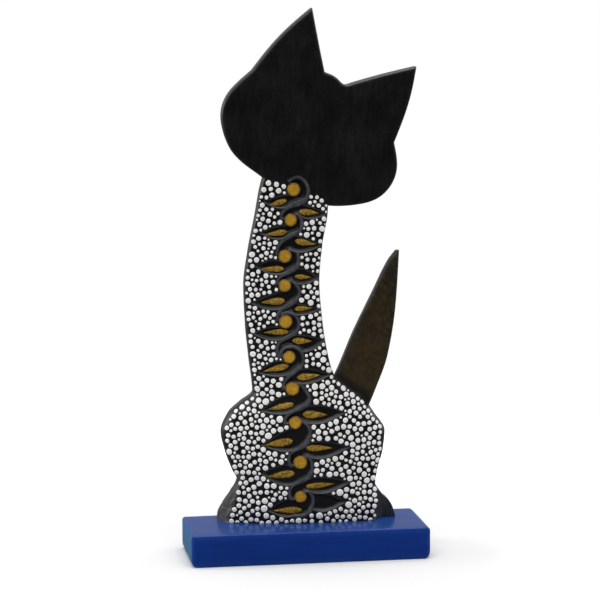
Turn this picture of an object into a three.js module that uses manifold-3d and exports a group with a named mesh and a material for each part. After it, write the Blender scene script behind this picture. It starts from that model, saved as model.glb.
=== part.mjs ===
// A flat hand-carved wooden cat on a painted block: dotted, leaf-carved back and plain head.
// Millimetres, +Z up, the origin at the middle of the block's underside.
// The carved back of the cat faces -Y, its plain front with the face looks towards +Y.
import * as THREE from 'three';
import { mergeVertices } from 'three/addons/utils/BufferGeometryUtils.js';
import Module from 'manifold-3d';

const wasm = await Module();
wasm.setup();

// Block
const BLOCK_WIDTH = 133;
const BLOCK_DEPTH = 48;
const BLOCK_HEIGHT = 17.8;
const BLOCK_EDGE = 0.8;
const BLOCK_LEFT_END = { top: 1.6, low: 3.4, plan: 1.2 };
const BLOCK_RIGHT_END = { top: 3, low: 4.2, plan: 3.6 };
const COLUMN_OVERLAP = 1;

// Cat: how it stands on the block
const FIGURE_TURN = THREE.MathUtils.degToRad(-3.5);
const MID_PLANE = 8;

// Cat: left and right edges of the body from the feet to the top of the neck, as [x, z]
const BODY_LEFT = [
  [-48.6, BLOCK_HEIGHT], [-48.3, 21], [-45.7, 26.7], [-41.2, 33.5], [-37.6, 41], [-40.2, 46.5],
  [-44.3, 57.4], [-46.5, 68], [-42.2, 79], [-36.4, 84.4], [-28.7, 91], [-30.7, 110],
  [-32.5, 128], [-33.4, 150], [-31.2, 168], [-27.3, 188], [-23, 209], [-18, 216],
];
const BODY_RIGHT = [
  [51.6, BLOCK_HEIGHT], [50.5, 22], [49, 25.6], [42.9, 32.6], [39.8, 38.5], [41, 46],
  [44.2, 57], [45.3, 67.5], [39.4, 77.6], [33, 86], [24, 93], [16.6, 99.5],
  [12, 115], [9.4, 133], [8, 152], [9.7, 172.9], [12.6, 190.5], [12.8, 196], [10, 216],
];

// Cat: half thickness at the middle, how far the edges fall back and how round they are,
// at the heights of the feet, hips, shoulder of the hips, foot of the neck and neck
const BODY_LEVELS = [17.8, 40, 65, 88, 100, 125, 150, 216];
const HALF_THICKNESS = [12, 12, 12.5, 11.5, 10.5, 8.3, 7, 5.8];
const EDGE_FALL = [6, 6, 7, 5.5, 3, 1.2, 0.8, 0.4];
const EDGE_RADIUS = [2, 2.5, 5, 4, 2.4, 2, 1.8, 1.6];
const FRONT_FALL_SHARE = 0.6;
const CROWN_POWER = 1.6;
const LEVEL_STEP = 6;
const CORNER_REACH_SHARE = 0.45;
const CORNER_DEPTH_SHARE = 0.9;

// Cat: the feet fall back from the dotted hips in a plane on each side, as a place on its
// upper inner end, the lean of its inner edge and its slope, in degrees
const FOOT_PLANES = [
  { x: -37.9, z: 34, lean: 17, slope: -42 },
  { x: 40.6, z: 34, lean: 5, slope: 36 },
];
const FOOT_CUTTER = { width: 40, depth: 20, height: 60, above: 10 };

// Cat: tail, a flat spike that grows out of the right hip
const TAIL_LEFT = [[6, 78], [18.1, 101], [27.5, 123.5], [38.2, 145.8], [47, 163.6], [51, 168.8]];
const TAIL_RIGHT = [[34, 78], [39.3, 90.6], [46.4, 110.6], [50.7, 137.5], [52.2, 159.9], [52.6, 168.8]];
const TAIL_LEVELS = [78, 168.8];
const TAIL_HALF_THICKNESS = [5.2, 3.4];

// Cat: head, a flat slab with two ears
const HEAD_HALF_THICKNESS = 6;
const HEAD_EDGE_RADIUS = 1.2;
const LEFT_EAR_TIP = [3.9, 301.8];
const RIGHT_EAR_TIP = [61.2, 269.9];
const LEFT_EAR_OUTSIDE = [[-9.2, 290.6], [-21.2, 277.7], [-28.6, 268.2]];
const LEFT_CHEEK = [[-36.4, 261.4], [-42.1, 254.9], [-45.6, 244.5], [-44.5, 235.3], [-38.4, 222.2],
  [-26.5, 212.2]];
const JAW = [[-16, 204.5], [-2, 197.6], [13.3, 194.1], [28, 194.5], [39.5, 197.6], [48.3, 206.4],
  [50.8, 214.5]];
const RIGHT_CHEEK = [[50.4, 222], [49.1, 228.6]];
const RIGHT_EAR_OUTSIDE = [[53.6, 240], [58.3, 254.8]];
const RIGHT_EAR_TOP = [[44, 265.9], [26.4, 261.1]];
const BROW = [[22, 260.2], [17.5, 263.8], [10.8, 267.2]];
const LEFT_EAR_INSIDE = [[8.3, 279], [5.4, 294]];

// Carving on the back: the spine's discs, and the leaf tips on both sides of it, as [x, z]
const DISC_RADIUS = 3.7;
const DISH_RADIUS = 7.2;
const CARVING_DEPTH = 1.6;
const DISCS = [[-6.4, 203.3], [-8, 186.6], [-11.2, 166.7], [-11.3, 150.5], [-11, 130.6],
  [-9.2, 111.1], [-7.6, 93.7], [-6.1, 74.8], [-3.3, 52.5], [-3.2, 32.9]];
const LEFT_TIPS = [[-23.4, 194.8], [-25.4, 178.6], [-27.9, 159.8], [-28.4, 141.2], [-28.8, 124.3],
  [-26.3, 102.9], [-24.9, 81.9], [-25.7, 61.9], [-24.9, 45.3], [-21, 25]];
const RIGHT_TIPS = [[12, 189.8], [9.6, 173], [7.8, 155.3], [7.7, 138], [10.1, 119.6],
  [13.5, 101], [21.5, 79.2], [23.6, 60], [24.4, 39.6], [23, 28.6]];
const LEAF_ROOT_DROP = 6.6;
const LEAF_HOLLOW_WIDTH = 9.4;
const RIB_WIDTH = 4.2;
const RIB_LENGTH_SHARE = 0.66;
const RIB_SHIFT_SHARE = 0.06;
const RIB_TOP_DEPTH = 0.3;
const DISC_TOP_DEPTH = 0.15;
const DISC_FLARE = 0.5;
const ROOT_SIDE_LEFT = 3;
const ROOT_SIDE_RIGHT = 2;
const RIGHT_ROOT_SHARE = 0.6;
const LAST_ROOT_SHARES = [0.7, 0.5];
const SLOPE_STEP = 0.5;

// Front: the gap between the forelegs, and the eyes and nose
const LEG_GAP_X = 1;
const LEG_GAP_TOP = 78;
const LEG_GAP_WIDTH = 7;
const LEG_GAP_DEPTH = 2.2;
const EYE_LENGTH = 17;
const EYE_WIDTH = 8;
const EYE_DEPTH = 1;
const EYES = [[-15, 243], [20, 228]];
const NOSE = [-3, 224];
const NOSE_SIZE = 4;
const FACE_TILT = THREE.MathUtils.degToRad(-24);

// A smooth curve through given points, asked for its value at a height or position.
function curveThrough(at, values) {
  const slope = (i) => (values[i + 1] - values[i]) / (at[i + 1] - at[i]);
  const tangents = values.map((value, i) => {
    if (i === 0) return slope(0);
    if (i === values.length - 1) return slope(i - 1);
    const before = slope(i - 1);
    const after = slope(i);
    return before * after <= 0 ? 0 : (2 * before * after) / (before + after);
  });
  return (place) => {
    const p = THREE.MathUtils.clamp(place, at[0], at[at.length - 1]);
    let i = 0;
    while (i < at.length - 2 && p > at[i + 1]) i += 1;
    const width = at[i + 1] - at[i];
    const t = (p - at[i]) / width;
    const rise = t * t * (3 - 2 * t);
    const bow = t * (1 - t) * width;
    return values[i] * (1 - rise) + values[i + 1] * rise
      + bow * ((1 - t) * tangents[i] - t * tangents[i + 1]);
  };
}

const edgeCurve = (points) => curveThrough(points.map((p) => p[1]), points.map((p) => p[0]));
const bodyLeft = edgeCurve(BODY_LEFT);
const bodyRight = edgeCurve(BODY_RIGHT);
const bodyHalf = curveThrough(BODY_LEVELS, HALF_THICKNESS);
const bodyFall = curveThrough(BODY_LEVELS, EDGE_FALL);
const bodyRadius = curveThrough(BODY_LEVELS, EDGE_RADIUS);

// Depth of the uncut back of the body at a place (x, z).
function backOfBody(x, z) {
  const middle = (bodyRight(z) + bodyLeft(z)) / 2;
  const share = Math.min(1, Math.abs(x - middle) / ((bodyRight(z) - bodyLeft(z)) / 2));
  return MID_PLANE - bodyHalf(z) + bodyFall(z) * share ** CROWN_POWER;
}

// One ring of a flat section between two edges: crowned faces, round corners, thin side walls.
function flatSection(left, right, half, fall, radius, faceSteps) {
  const middle = (left + right) / 2;
  const reach = (right - left) / 2;
  const round = Math.min(radius, CORNER_REACH_SHARE * reach, CORNER_DEPTH_SHARE * (half - fall));
  const cornerSteps = 3;
  const side = (sign, share) => {
    const points = [];
    const add = (x, inset) => {
      const crown = fall * share * (Math.abs(x - middle) / reach) ** CROWN_POWER;
      points.push([x, MID_PLANE + sign * (half - crown - inset)]);
    };
    for (let i = 0; i <= cornerSteps; i += 1) {
      const turn = (i / cornerSteps) * (Math.PI / 2);
      add(left + round * (1 - Math.cos(turn)), round * (1 - Math.sin(turn)));
    }
    for (let i = 1; i < faceSteps; i += 1) {
      add(left + round + (i / faceSteps) * (right - left - 2 * round), 0);
    }
    for (let i = cornerSteps; i >= 0; i -= 1) {
      const turn = (i / cornerSteps) * (Math.PI / 2);
      add(right - round * (1 - Math.cos(turn)), round * (1 - Math.sin(turn)));
    }
    return points;
  };
  return [...side(-1, 1), ...side(1, FRONT_FALL_SHARE).reverse()];
}

// A closed solid through rings of equal count, one above the other.
function stackRings(levels, ringAt) {
  const rings = levels.map((z) => ringAt(z).map(([x, y]) => [x, y, z]));
  const count = rings[0].length;
  const positions = rings.flat(2);
  const index = [];
  for (let k = 0; k < rings.length - 1; k += 1) {
    for (let i = 0; i < count; i += 1) {
      const a = k * count + i;
      const b = k * count + ((i + 1) % count);
      index.push(a, b, b + count, a, b + count, a + count);
    }
  }
  for (const [ring, up] of [[0, false], [rings.length - 1, true]]) {
    const outline = rings[ring].map(([x, y]) => new THREE.Vector2(x, y));
    for (const [a, b, c] of THREE.ShapeUtils.triangulateShape(outline, [])) {
      const face = up ? [a, b, c] : [a, c, b];
      index.push(...face.map((i) => ring * count + i));
    }
  }
  const geometry = new THREE.BufferGeometry();
  geometry.setAttribute('position', new THREE.Float32BufferAttribute(positions, 3));
  geometry.setIndex(index);
  return geometry;
}

function toSolid(geometry, matrix = new THREE.Matrix4()) {
  const bare = geometry.clone().applyMatrix4(matrix);
  bare.deleteAttribute('normal');
  bare.deleteAttribute('uv');
  const merged = mergeVertices(bare, 1e-4);
  return new wasm.Manifold(new wasm.Mesh({
    numProp: 3,
    vertProperties: new Float32Array(merged.attributes.position.array),
    triVerts: new Uint32Array(merged.index.array),
  }));
}

function toGeometry(solid) {
  const mesh = solid.getMesh();
  const geometry = new THREE.BufferGeometry();
  geometry.setAttribute('position', new THREE.BufferAttribute(mesh.vertProperties, 3));
  geometry.setIndex(new THREE.BufferAttribute(mesh.triVerts, 1));
  geometry.computeVertexNormals();
  return geometry;
}

const between = (low, high, step) => {
  const count = Math.ceil((high - low) / step);
  return Array.from({ length: count + 1 }, (unused, i) => low + ((high - low) * i) / count);
};

// A rectangle as an outline with a rounding of its own at each corner, from the lower left round.
function roundedRectangle(left, low, right, top, [a, b, c, d]) {
  const outline = new THREE.Shape();
  outline.moveTo(left + a, low);
  outline.lineTo(right - b, low);
  outline.quadraticCurveTo(right, low, right, low + b);
  outline.lineTo(right, top - c);
  outline.quadraticCurveTo(right, top, right - c, top);
  outline.lineTo(left + d, top);
  outline.quadraticCurveTo(left, top, left, top - d);
  outline.lineTo(left, low + a);
  outline.quadraticCurveTo(left, low, left + a, low);
  return outline;
}

// Block: a board with eased edges, its ends rounded in front view and in plan
function block() {
  const half = BLOCK_WIDTH / 2;
  const deep = BLOCK_DEPTH / 2;
  const { low, top, plan } = BLOCK_LEFT_END;
  const right = BLOCK_RIGHT_END;
  const front = roundedRectangle(-half, 0, half, BLOCK_HEIGHT, [low, right.low, right.top, top]);
  const board = new THREE.ExtrudeGeometry(front, {
    depth: BLOCK_DEPTH - 2 * BLOCK_EDGE,
    bevelThickness: BLOCK_EDGE,
    bevelSize: BLOCK_EDGE,
    bevelOffset: -BLOCK_EDGE,
    bevelSegments: 3,
    curveSegments: 6,
  });
  const upright = new THREE.Matrix4().makeRotationX(Math.PI / 2);
  upright.setPosition(0, deep - BLOCK_EDGE, 0);
  const footprint = roundedRectangle(-half, -deep, half, deep, [plan, right.plan, right.plan, plan]);
  const column = new THREE.ExtrudeGeometry(footprint, {
    depth: BLOCK_HEIGHT + 2 * COLUMN_OVERLAP,
    bevelEnabled: false,
    curveSegments: 6,
  });
  const lowered = new THREE.Matrix4().makeTranslation(0, 0, -COLUMN_OVERLAP);
  return toSolid(board, upright).intersect(toSolid(column, lowered));
}

function body() {
  const levels = between(BLOCK_HEIGHT, BODY_LEVELS[BODY_LEVELS.length - 1], LEVEL_STEP);
  return toSolid(stackRings(levels, (z) => flatSection(
    bodyLeft(z), bodyRight(z), bodyHalf(z), bodyFall(z), bodyRadius(z), 8,
  )));
}

function tail() {
  const left = edgeCurve(TAIL_LEFT);
  const right = edgeCurve(TAIL_RIGHT);
  const half = curveThrough(TAIL_LEVELS, TAIL_HALF_THICKNESS);
  const levels = between(TAIL_LEVELS[0], TAIL_LEVELS[1], 9);
  return toSolid(stackRings(levels, (z) => flatSection(left(z), right(z), half(z), 0, 1.6, 2)));
}

function head() {
  const outline = new THREE.Shape();
  const spline = (points) => outline.splineThru(points.map(([x, z]) => new THREE.Vector2(x, z)));
  outline.moveTo(...LEFT_EAR_TIP);
  spline(LEFT_EAR_OUTSIDE);
  spline([...LEFT_CHEEK, ...JAW, ...RIGHT_CHEEK]);
  spline([...RIGHT_EAR_OUTSIDE, RIGHT_EAR_TIP]);
  spline(RIGHT_EAR_TOP);
  spline(BROW);
  spline([...LEFT_EAR_INSIDE, LEFT_EAR_TIP]);
  const slab = new THREE.ExtrudeGeometry(outline, {
    depth: 2 * (HEAD_HALF_THICKNESS - HEAD_EDGE_RADIUS),
    bevelThickness: HEAD_EDGE_RADIUS,
    bevelSize: HEAD_EDGE_RADIUS,
    bevelOffset: -HEAD_EDGE_RADIUS,
    bevelSegments: 2,
    curveSegments: 2,
  });
  const upright = new THREE.Matrix4().makeRotationX(Math.PI / 2);
  upright.setPosition(0, MID_PLANE + HEAD_HALF_THICKNESS - HEAD_EDGE_RADIUS, 0);
  return toSolid(slab, upright);
}

// A pointed spindle along X, as wide in Z and as deep in Y as asked.
function spindle(length, width, depth, steps = 6, sides = 8) {
  const profile = Array.from({ length: steps + 1 }, (unused, i) => {
    const s = -1 + (2 * i) / steps;
    return new THREE.Vector2(i === 0 || i === steps ? 0 : (1 - s * s) / 2, (s * length) / 2);
  });
  const turned = new THREE.LatheGeometry(profile, sides);
  turned.scale(2 * depth, 1, width);
  turned.rotateZ(-Math.PI / 2);
  return turned;
}

// Places a cutter on the back of the body, its X along the slope from one place to another.
function onBack(x, z, rise) {
  const d = SLOPE_STEP;
  const acrossSlope = (backOfBody(x + d, z) - backOfBody(x - d, z)) / (2 * d);
  const upSlope = (backOfBody(x, z + d) - backOfBody(x, z - d)) / (2 * d);
  const along = new THREE.Vector3(
    Math.cos(rise),
    acrossSlope * Math.cos(rise) + upSlope * Math.sin(rise),
    Math.sin(rise),
  ).normalize();
  const inward = new THREE.Vector3(-acrossSlope, 1, -upSlope).normalize();
  const up = new THREE.Vector3().crossVectors(along, inward);
  const matrix = new THREE.Matrix4().makeBasis(along, inward, up);
  return matrix.setPosition(x, backOfBody(x, z), z);
}

// A hollow leaf with a raised rib, from its root beside the spine to its tip.
function leafHollow(root, tip) {
  const length = Math.hypot(tip[0] - root[0], tip[1] - root[1]);
  const rise = Math.atan2(tip[1] - root[1], tip[0] - root[0]);
  const x = (root[0] + tip[0]) / 2;
  const z = (root[1] + tip[1]) / 2;
  const place = onBack(x, z, rise);
  const hollow = toSolid(spindle(length, LEAF_HOLLOW_WIDTH, CARVING_DEPTH), place);
  const sunk = new THREE.Matrix4().makeTranslation(-RIB_SHIFT_SHARE * length, CARVING_DEPTH, 0);
  const rib = spindle(RIB_LENGTH_SHARE * length, RIB_WIDTH, CARVING_DEPTH - RIB_TOP_DEPTH, 4, 6);
  return hollow.subtract(toSolid(rib, place.clone().multiply(sunk)));
}

// A round dish with a flat disc left standing in it.
function discDish(x, z) {
  const place = onBack(x, z, 0);
  const dish = new THREE.SphereGeometry(1, 12, 6);
  dish.scale(DISH_RADIUS, CARVING_DEPTH, DISH_RADIUS);
  const disc = new THREE.CylinderGeometry(DISC_RADIUS + DISC_FLARE, DISC_RADIUS, 2 * CARVING_DEPTH, 12);
  const sunk = new THREE.Matrix4().makeTranslation(0, CARVING_DEPTH + DISC_TOP_DEPTH, 0);
  return toSolid(dish, place).subtract(toSolid(disc, place.clone().multiply(sunk)));
}

function backCarving() {
  const cutters = DISCS.map(([x, z]) => discDish(x, z));
  DISCS.forEach(([x, z], k) => {
    const last = k === DISCS.length - 1;
    const [leftShare, rightShare] = last ? LAST_ROOT_SHARES : [1, RIGHT_ROOT_SHARE];
    const root = [x + ROOT_SIDE_LEFT, z - LEAF_ROOT_DROP * leftShare];
    cutters.push(leafHollow(root, LEFT_TIPS[k]));
    const rootRight = last
      ? [x + ROOT_SIDE_LEFT, z - LEAF_ROOT_DROP * rightShare]
      : [DISCS[k + 1][0] + ROOT_SIDE_RIGHT, DISCS[k + 1][1] + LEAF_ROOT_DROP * rightShare];
    cutters.push(leafHollow(rootRight, RIGHT_TIPS[k]));
  });
  return cutters;
}

// The cutters that take the slanted planes off the feet.
function footCuts() {
  const { width, depth, height, above } = FOOT_CUTTER;
  const cutter = new THREE.BoxGeometry(width, depth, height);
  return FOOT_PLANES.map(({ x, z, lean, slope }) => {
    const matrix = new THREE.Matrix4().makeTranslation(x, backOfBody(x, z), z);
    matrix.multiply(new THREE.Matrix4().makeRotationY(THREE.MathUtils.degToRad(lean)));
    matrix.multiply(new THREE.Matrix4().makeRotationZ(THREE.MathUtils.degToRad(slope)));
    matrix.multiply(new THREE.Matrix4().makeTranslation(
      (Math.sign(x) * width) / 2,
      -depth / 2,
      above - height / 2,
    ));
    return toSolid(cutter, matrix);
  });
}

// Front: a tapering groove between the forelegs
function legGap() {
  const height = LEG_GAP_TOP - BLOCK_HEIGHT;
  const gap = spindle(2 * height, LEG_GAP_WIDTH, LEG_GAP_DEPTH);
  const matrix = new THREE.Matrix4().makeRotationY(-Math.PI / 2);
  matrix.setPosition(LEG_GAP_X, MID_PLANE + bodyHalf(LEG_GAP_TOP), BLOCK_HEIGHT);
  return toSolid(gap, matrix);
}

// Front: two almond eyes and a small nose, sunk a little into the flat face
function faceCuts() {
  const face = MID_PLANE + HEAD_HALF_THICKNESS;
  const place = (x, z, turn) => {
    const matrix = new THREE.Matrix4().makeTranslation(x, face, z);
    return matrix.multiply(new THREE.Matrix4().makeRotationY(turn));
  };
  const eye = spindle(EYE_LENGTH, EYE_WIDTH, EYE_DEPTH);
  const eyes = EYES.map(([x, z]) => toSolid(eye, place(x, z, -FACE_TILT)));
  const nose = new THREE.CylinderGeometry(NOSE_SIZE, NOSE_SIZE, 2 * EYE_DEPTH, 3);
  return [...eyes, toSolid(nose, place(NOSE[0], NOSE[1], -FACE_TILT))];
}

function cat() {
  const whole = body().add(head()).add(tail());
  const cuts = [...backCarving(), ...footCuts(), legGap(), ...faceCuts()];
  return cuts.reduce((solid, cutter) => solid.subtract(cutter), whole);
}

const blockMaterial = new THREE.MeshStandardMaterial({ color: 0x1a3f94, roughness: 0.45, metalness: 0 });
const catMaterial = new THREE.MeshStandardMaterial({ color: 0x121212, roughness: 0.4, metalness: 0 });

const plinthMesh = new THREE.Mesh(toGeometry(block()), blockMaterial);
plinthMesh.name = 'plinth';

const catMesh = new THREE.Mesh(toGeometry(cat()), catMaterial);
catMesh.name = 'cat';
const figure = new THREE.Group();
figure.rotation.z = FIGURE_TURN;
figure.add(catMesh);

const group = new THREE.Group();
group.add(plinthMesh, figure);

export default group;
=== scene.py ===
import math

import bpy
import numpy as np
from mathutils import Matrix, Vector
from mathutils.geometry import delaunay_2d_cdt


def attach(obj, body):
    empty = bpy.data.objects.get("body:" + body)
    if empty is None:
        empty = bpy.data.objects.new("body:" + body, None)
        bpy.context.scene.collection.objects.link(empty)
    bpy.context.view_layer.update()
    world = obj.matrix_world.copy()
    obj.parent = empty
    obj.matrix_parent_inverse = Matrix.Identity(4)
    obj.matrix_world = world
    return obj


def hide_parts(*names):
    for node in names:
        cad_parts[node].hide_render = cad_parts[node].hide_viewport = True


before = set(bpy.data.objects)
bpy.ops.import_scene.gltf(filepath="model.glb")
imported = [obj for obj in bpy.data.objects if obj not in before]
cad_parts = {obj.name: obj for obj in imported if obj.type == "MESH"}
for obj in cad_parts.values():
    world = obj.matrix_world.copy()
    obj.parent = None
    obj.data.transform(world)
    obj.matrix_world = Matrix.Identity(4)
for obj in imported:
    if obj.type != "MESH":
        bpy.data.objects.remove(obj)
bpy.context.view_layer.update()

# A flat carved wooden cat on a blue block, its dotted and leaf-carved back facing -Y.
# Shapes are worked out in millimetres in the figure's own upright plane (x, z), then turned
# a little on the block and written in metres.

MILLIMETRE = 0.001
rng = np.random.default_rng(20)

# The block
BLOCK_WIDTH = 133.0
BLOCK_DEPTH = 48.0
BLOCK_HEIGHT = 17.8
BLOCK_EDGE = 0.9
# Roundings of the block's left and right end: its top and low edge and its corners in plan
BLOCK_END_TOP = (1.6, 3.0)
BLOCK_END_LOW = (3.4, 4.2)
BLOCK_END_PLAN = (1.4, 3.6)

# How the figure stands on the block
FIGURE_TURN = math.radians(-3.5)
MID_PLANE = 8.0

# Outlines as in the CAD source, as [x, z]
BODY_LEFT = [
    [-48.6, 17.8], [-48.3, 21], [-45.7, 26.7], [-41.2, 33.5], [-37.6, 41], [-40.2, 46.5],
    [-44.3, 57.4], [-46.5, 68], [-42.2, 79], [-36.4, 84.4], [-28.7, 91], [-30.7, 110],
    [-32.5, 128], [-33.4, 150], [-31.2, 168], [-27.3, 188], [-23, 209], [-18, 216]]
BODY_RIGHT = [
    [51.6, 17.8], [50.5, 22], [49, 25.6], [42.9, 32.6], [39.8, 38.5], [41, 46],
    [44.2, 57], [45.3, 67.5], [39.4, 77.6], [33, 86], [24, 93], [16.6, 99.5],
    [12, 115], [9.4, 133], [8, 152], [9.7, 172.9], [12.6, 190.5], [12.8, 196], [10, 216]]
NECK_TOP = 216
BODY_LEVELS = [17.8, 40, 65, 88, 100, 125, 150, 186, 197, 216]
HALF_THICKNESS = [12, 12, 12.5, 11.5, 10.5, 8.3, 7, 6.15, 6.0, 5.98]
EDGE_FALL = [6, 6, 7, 5.5, 3, 1.2, 0.8, 0.3, 0, 0]
EDGE_RADIUS = [2, 2.5, 5, 4, 2.4, 2, 1.8, 1.7, 1.6, 1.6]
FRONT_FALL_SHARE = 0.6
CROWN_POWER = 1.6
TAIL_LEFT = [[6, 78], [18.1, 101], [27.5, 123.5], [38.2, 145.8], [47, 163.6], [51, 168.8]]
TAIL_RIGHT = [[34, 78], [39.3, 90.6], [46.4, 110.6], [50.7, 137.5], [52.2, 159.9], [52.6, 168.8]]
TAIL_LEVELS = [78, 168.8]
TAIL_FOOT, TAIL_TOP = TAIL_LEVELS
TAIL_HALF_THICKNESS = [5.2, 3.4]
TAIL_EDGE_RADIUS = 1.6
HEAD_HALF_THICKNESS = 6.0
HEAD_EDGE_RADIUS = 1.2
HEAD_RUNS = [
    [[3.9, 301.8], [-9.2, 290.6], [-21.2, 277.7], [-28.6, 268.2]],
    [[-28.6, 268.2], [-36.4, 261.4], [-42.1, 254.9], [-45.6, 244.5], [-44.5, 235.3],
     [-38.4, 222.2], [-26.5, 212.2], [-16, 204.5], [-2, 197.6], [13.3, 194.1], [28, 194.5],
     [39.5, 197.6], [48.3, 206.4], [50.8, 214.5], [50.4, 222], [49.1, 228.6]],
    [[49.1, 228.6], [53.6, 240], [58.3, 254.8], [61.2, 269.9]],
    [[61.2, 269.9], [44, 265.9], [26.4, 261.1]],
    [[26.4, 261.1], [22, 260.2], [17.5, 263.8], [10.8, 267.2]],
    [[10.8, 267.2], [8.3, 279], [5.4, 294], [3.9, 301.8]]]

# The carved spine: discs as (x, z, radius)
DISCS = [
    (-6.4, 203.3, 3.7), (-8, 186.6, 3.5), (-11.2, 166.7, 3.65), (-11.3, 150.5, 3.5),
    (-11, 130.6, 3.75), (-9.2, 111.1, 3.5), (-7.6, 93.7, 3.9), (-6.1, 74.8, 3.6),
    (-3.3, 52.5, 3.8), (-3.2, 32.9, 3.4)]
# The ridge that winds down the spine: round the right of each disc, then round the left of the
# next one, as (angle in degrees, distance) from each disc's middle.
WINDINGS = [
    ([(116, 5.3), (72, 7.1), (42, 7.6), (8, 7.9), (-22, 8.4), (-47, 8.4), (-84, 8.2)],
     [(108, 6.8), (142, 6.0), (169, 5.2)]),
    ([(39, 4.9), (0, 5.9), (-27, 6.8), (-51, 7.8), (-77, 7.8)],
     [(86, 9.9), (112, 7.4), (140, 5.4), (166, 4.6)]),
    ([(50, 4.4), (17, 6.9), (-10, 7.6), (-34, 8.6), (-53, 8.7)],
     [(74, 7.8), (100, 6.0), (131, 5.2), (162, 4.6)]),
    ([(38, 4.4), (19, 5.2), (-8, 7.4), (-26, 9.2), (-46, 10.0), (-69, 10.6)],
     [(94, 7.7), (117, 6.8), (143, 5.4), (165, 4.8)]),
    ([(115, 4.6), (72, 5.1), (37, 6.0), (8, 6.9), (-17, 7.5), (-40, 8.1), (-68, 8.2)],
     [(103, 10.3), (121, 9.8), (139, 8.6), (156, 7.2), (176, 5.8)]),
    ([(158, 5.1), (128, 5.4), (92, 5.5), (51, 6.4), (21, 7.3), (-4, 7.8), (-31, 8.3), (-55, 8.1)],
     [(93, 8.0), (122, 6.2), (150, 5.3), (180, 5.0)]),
    ([(33, 4.8), (5, 6.2), (-15, 8.2), (-27, 10.5), (-41, 11.8), (-59, 12.0)],
     [(91, 6.7), (127, 6.0), (158, 5.9), (184, 5.8)]),
    ([(4, 4.4), (-12, 6.8), (-28, 9.2), (-41, 10.9), (-56, 12.6)],
     [(84, 8.5), (115, 7.3), (144, 7.0), (172, 6.3), (204, 5.5)]),
    ([(41, 4.7), (9, 5.8), (-19, 7.0), (-43, 8.6), (-65, 10.0)],
     [(92, 8.3), (121, 7.6), (144, 7.0), (169, 6.2), (200, 5.2)]),
    ([(36, 5.1), (4, 6.4), (-24, 7.7), (-46, 9.2), (-66, 10.4), (-87, 10.9), (-108, 11.6)], [])]
# Where the right leaf's upper edge leaves the ridge, as an angle round disc k + 1
LEAVE_ANGLES = [58, 58, 58, 63, 76, 74, 62, 71, 67]
LEAVE_DISTANCE = 11.0
LEAF_LEAVES_RIDGE_BELOW = 50.5
RIDGE_HALF_WIDTH = 0.4
# How much wider half the ridge is where it crosses from one disc's right to the next one's left
RIDGE_CROSSINGS = [0.7, 0.35, 0.4, 0.3, 0.2, 0.35, 0.25, 0.25, 0.25, 0]
LEFT_TIPS = [
    (-23.2, 196.6), (-25.0, 179.6), (-27.7, 161.0), (-30.0, 140.8), (-29.2, 124),
    (-26.8, 102.4), (-25.2, 81), (-24.9, 62), (-24.6, 45.8), (-21.3, 25.1)]
RIGHT_TIPS = [
    (12.3, 189.5), (9.4, 172.5), (7.6, 154.2), (8.2, 137), (10.6, 119.7), (14, 100.6),
    (22, 79.2), (24.8, 59.9), (25.1, 40), (22.5, 29.0)]
# How far the leaf's upper and lower edges bow out, left and right of the spine
LEFT_BOWS = [
    (0.7, 1.4), (0.8, 2.0), (1.9, 3.0), (0.7, 2.4), (1.3, 2.2), (2.2, 1.9), (1.3, 2.1),
    (0.7, 3.2), (2.1, 4.2), (1.9, 1.8)]
RIGHT_BOWS = [
    (0.4, 2.8), (0.5, 2.5), (1.8, 2.9), (0.5, 1.3), (1.2, 1.7), (1.6, 1.7), (2.0, 3.0),
    (2.2, 3.2), (1.6, 3.2), (2.0, 2.8)]
LEAF_LEAN = 0.85
LEFT_ROOT_ANGLE = [226, 226, 227, 240, 226, 225, 244, 240, 212, 212]
CARVING_DEPTH = 1.5
WALL_WIDTH = 1.5
# Gold ribs in the leaves, inner end to outer end and width
LEFT_RIBS = [
    (-10.1, 197.3, -19.9, 194.7, 3.3), (-9.8, 180.1, -22.6, 178.3, 3.4),
    (-11.8, 159.7, -25.5, 159.4, 3.5), (-11.3, 142.1, -24.5, 141.2, 4.1),
    (-9.3, 125, -23.2, 124.6, 3.3), (-9.4, 106.4, -23.6, 103, 3.7),
    (-6.7, 85, -20.9, 81.9, 3.6), (-7.4, 64.4, -22.7, 62.1, 4.7),
    (-6.3, 46.2, -21.1, 44.0, 4.4), (-2.3, 25.2, -18.5, 24.9, 3.8)]
RIGHT_RIBS = [
    (-3.4, 191.1, 7.7, 190.1, 3.8), (-5.6, 175, 6.2, 172.9, 3.7), (-5.8, 155.3, 3.4, 154.7, 2.9),
    (-5.9, 137.4, 4.2, 137.9, 3.1), (-7.4, 119.9, 3.6, 119.4, 3.8), (-4.9, 99.5, 8.2, 100.6, 4.0),
    (-1.9, 79.2, 11.9, 78.5, 4.4), (-0.2, 60.3, 14.6, 59.9, 3.8), (-0.2, 38.4, 16, 39.5, 3.5)]
RIB_TOP_DEPTH = 0.3
# How far up a hollow's lower wall, the wall that faces up, its painted highlight reaches
LOW_RIM = 1.1
LOW_RIM_ON_HIPS = 2.0

# The feet: planes that fall back beside the dotted hips, as (x, z, lean, slope) in degrees
FOOT_PLANES = [(-37.9, 34, 17, 42), (40.6, 34, 5, 36)]
FOOT_STEP = 0.7

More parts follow.
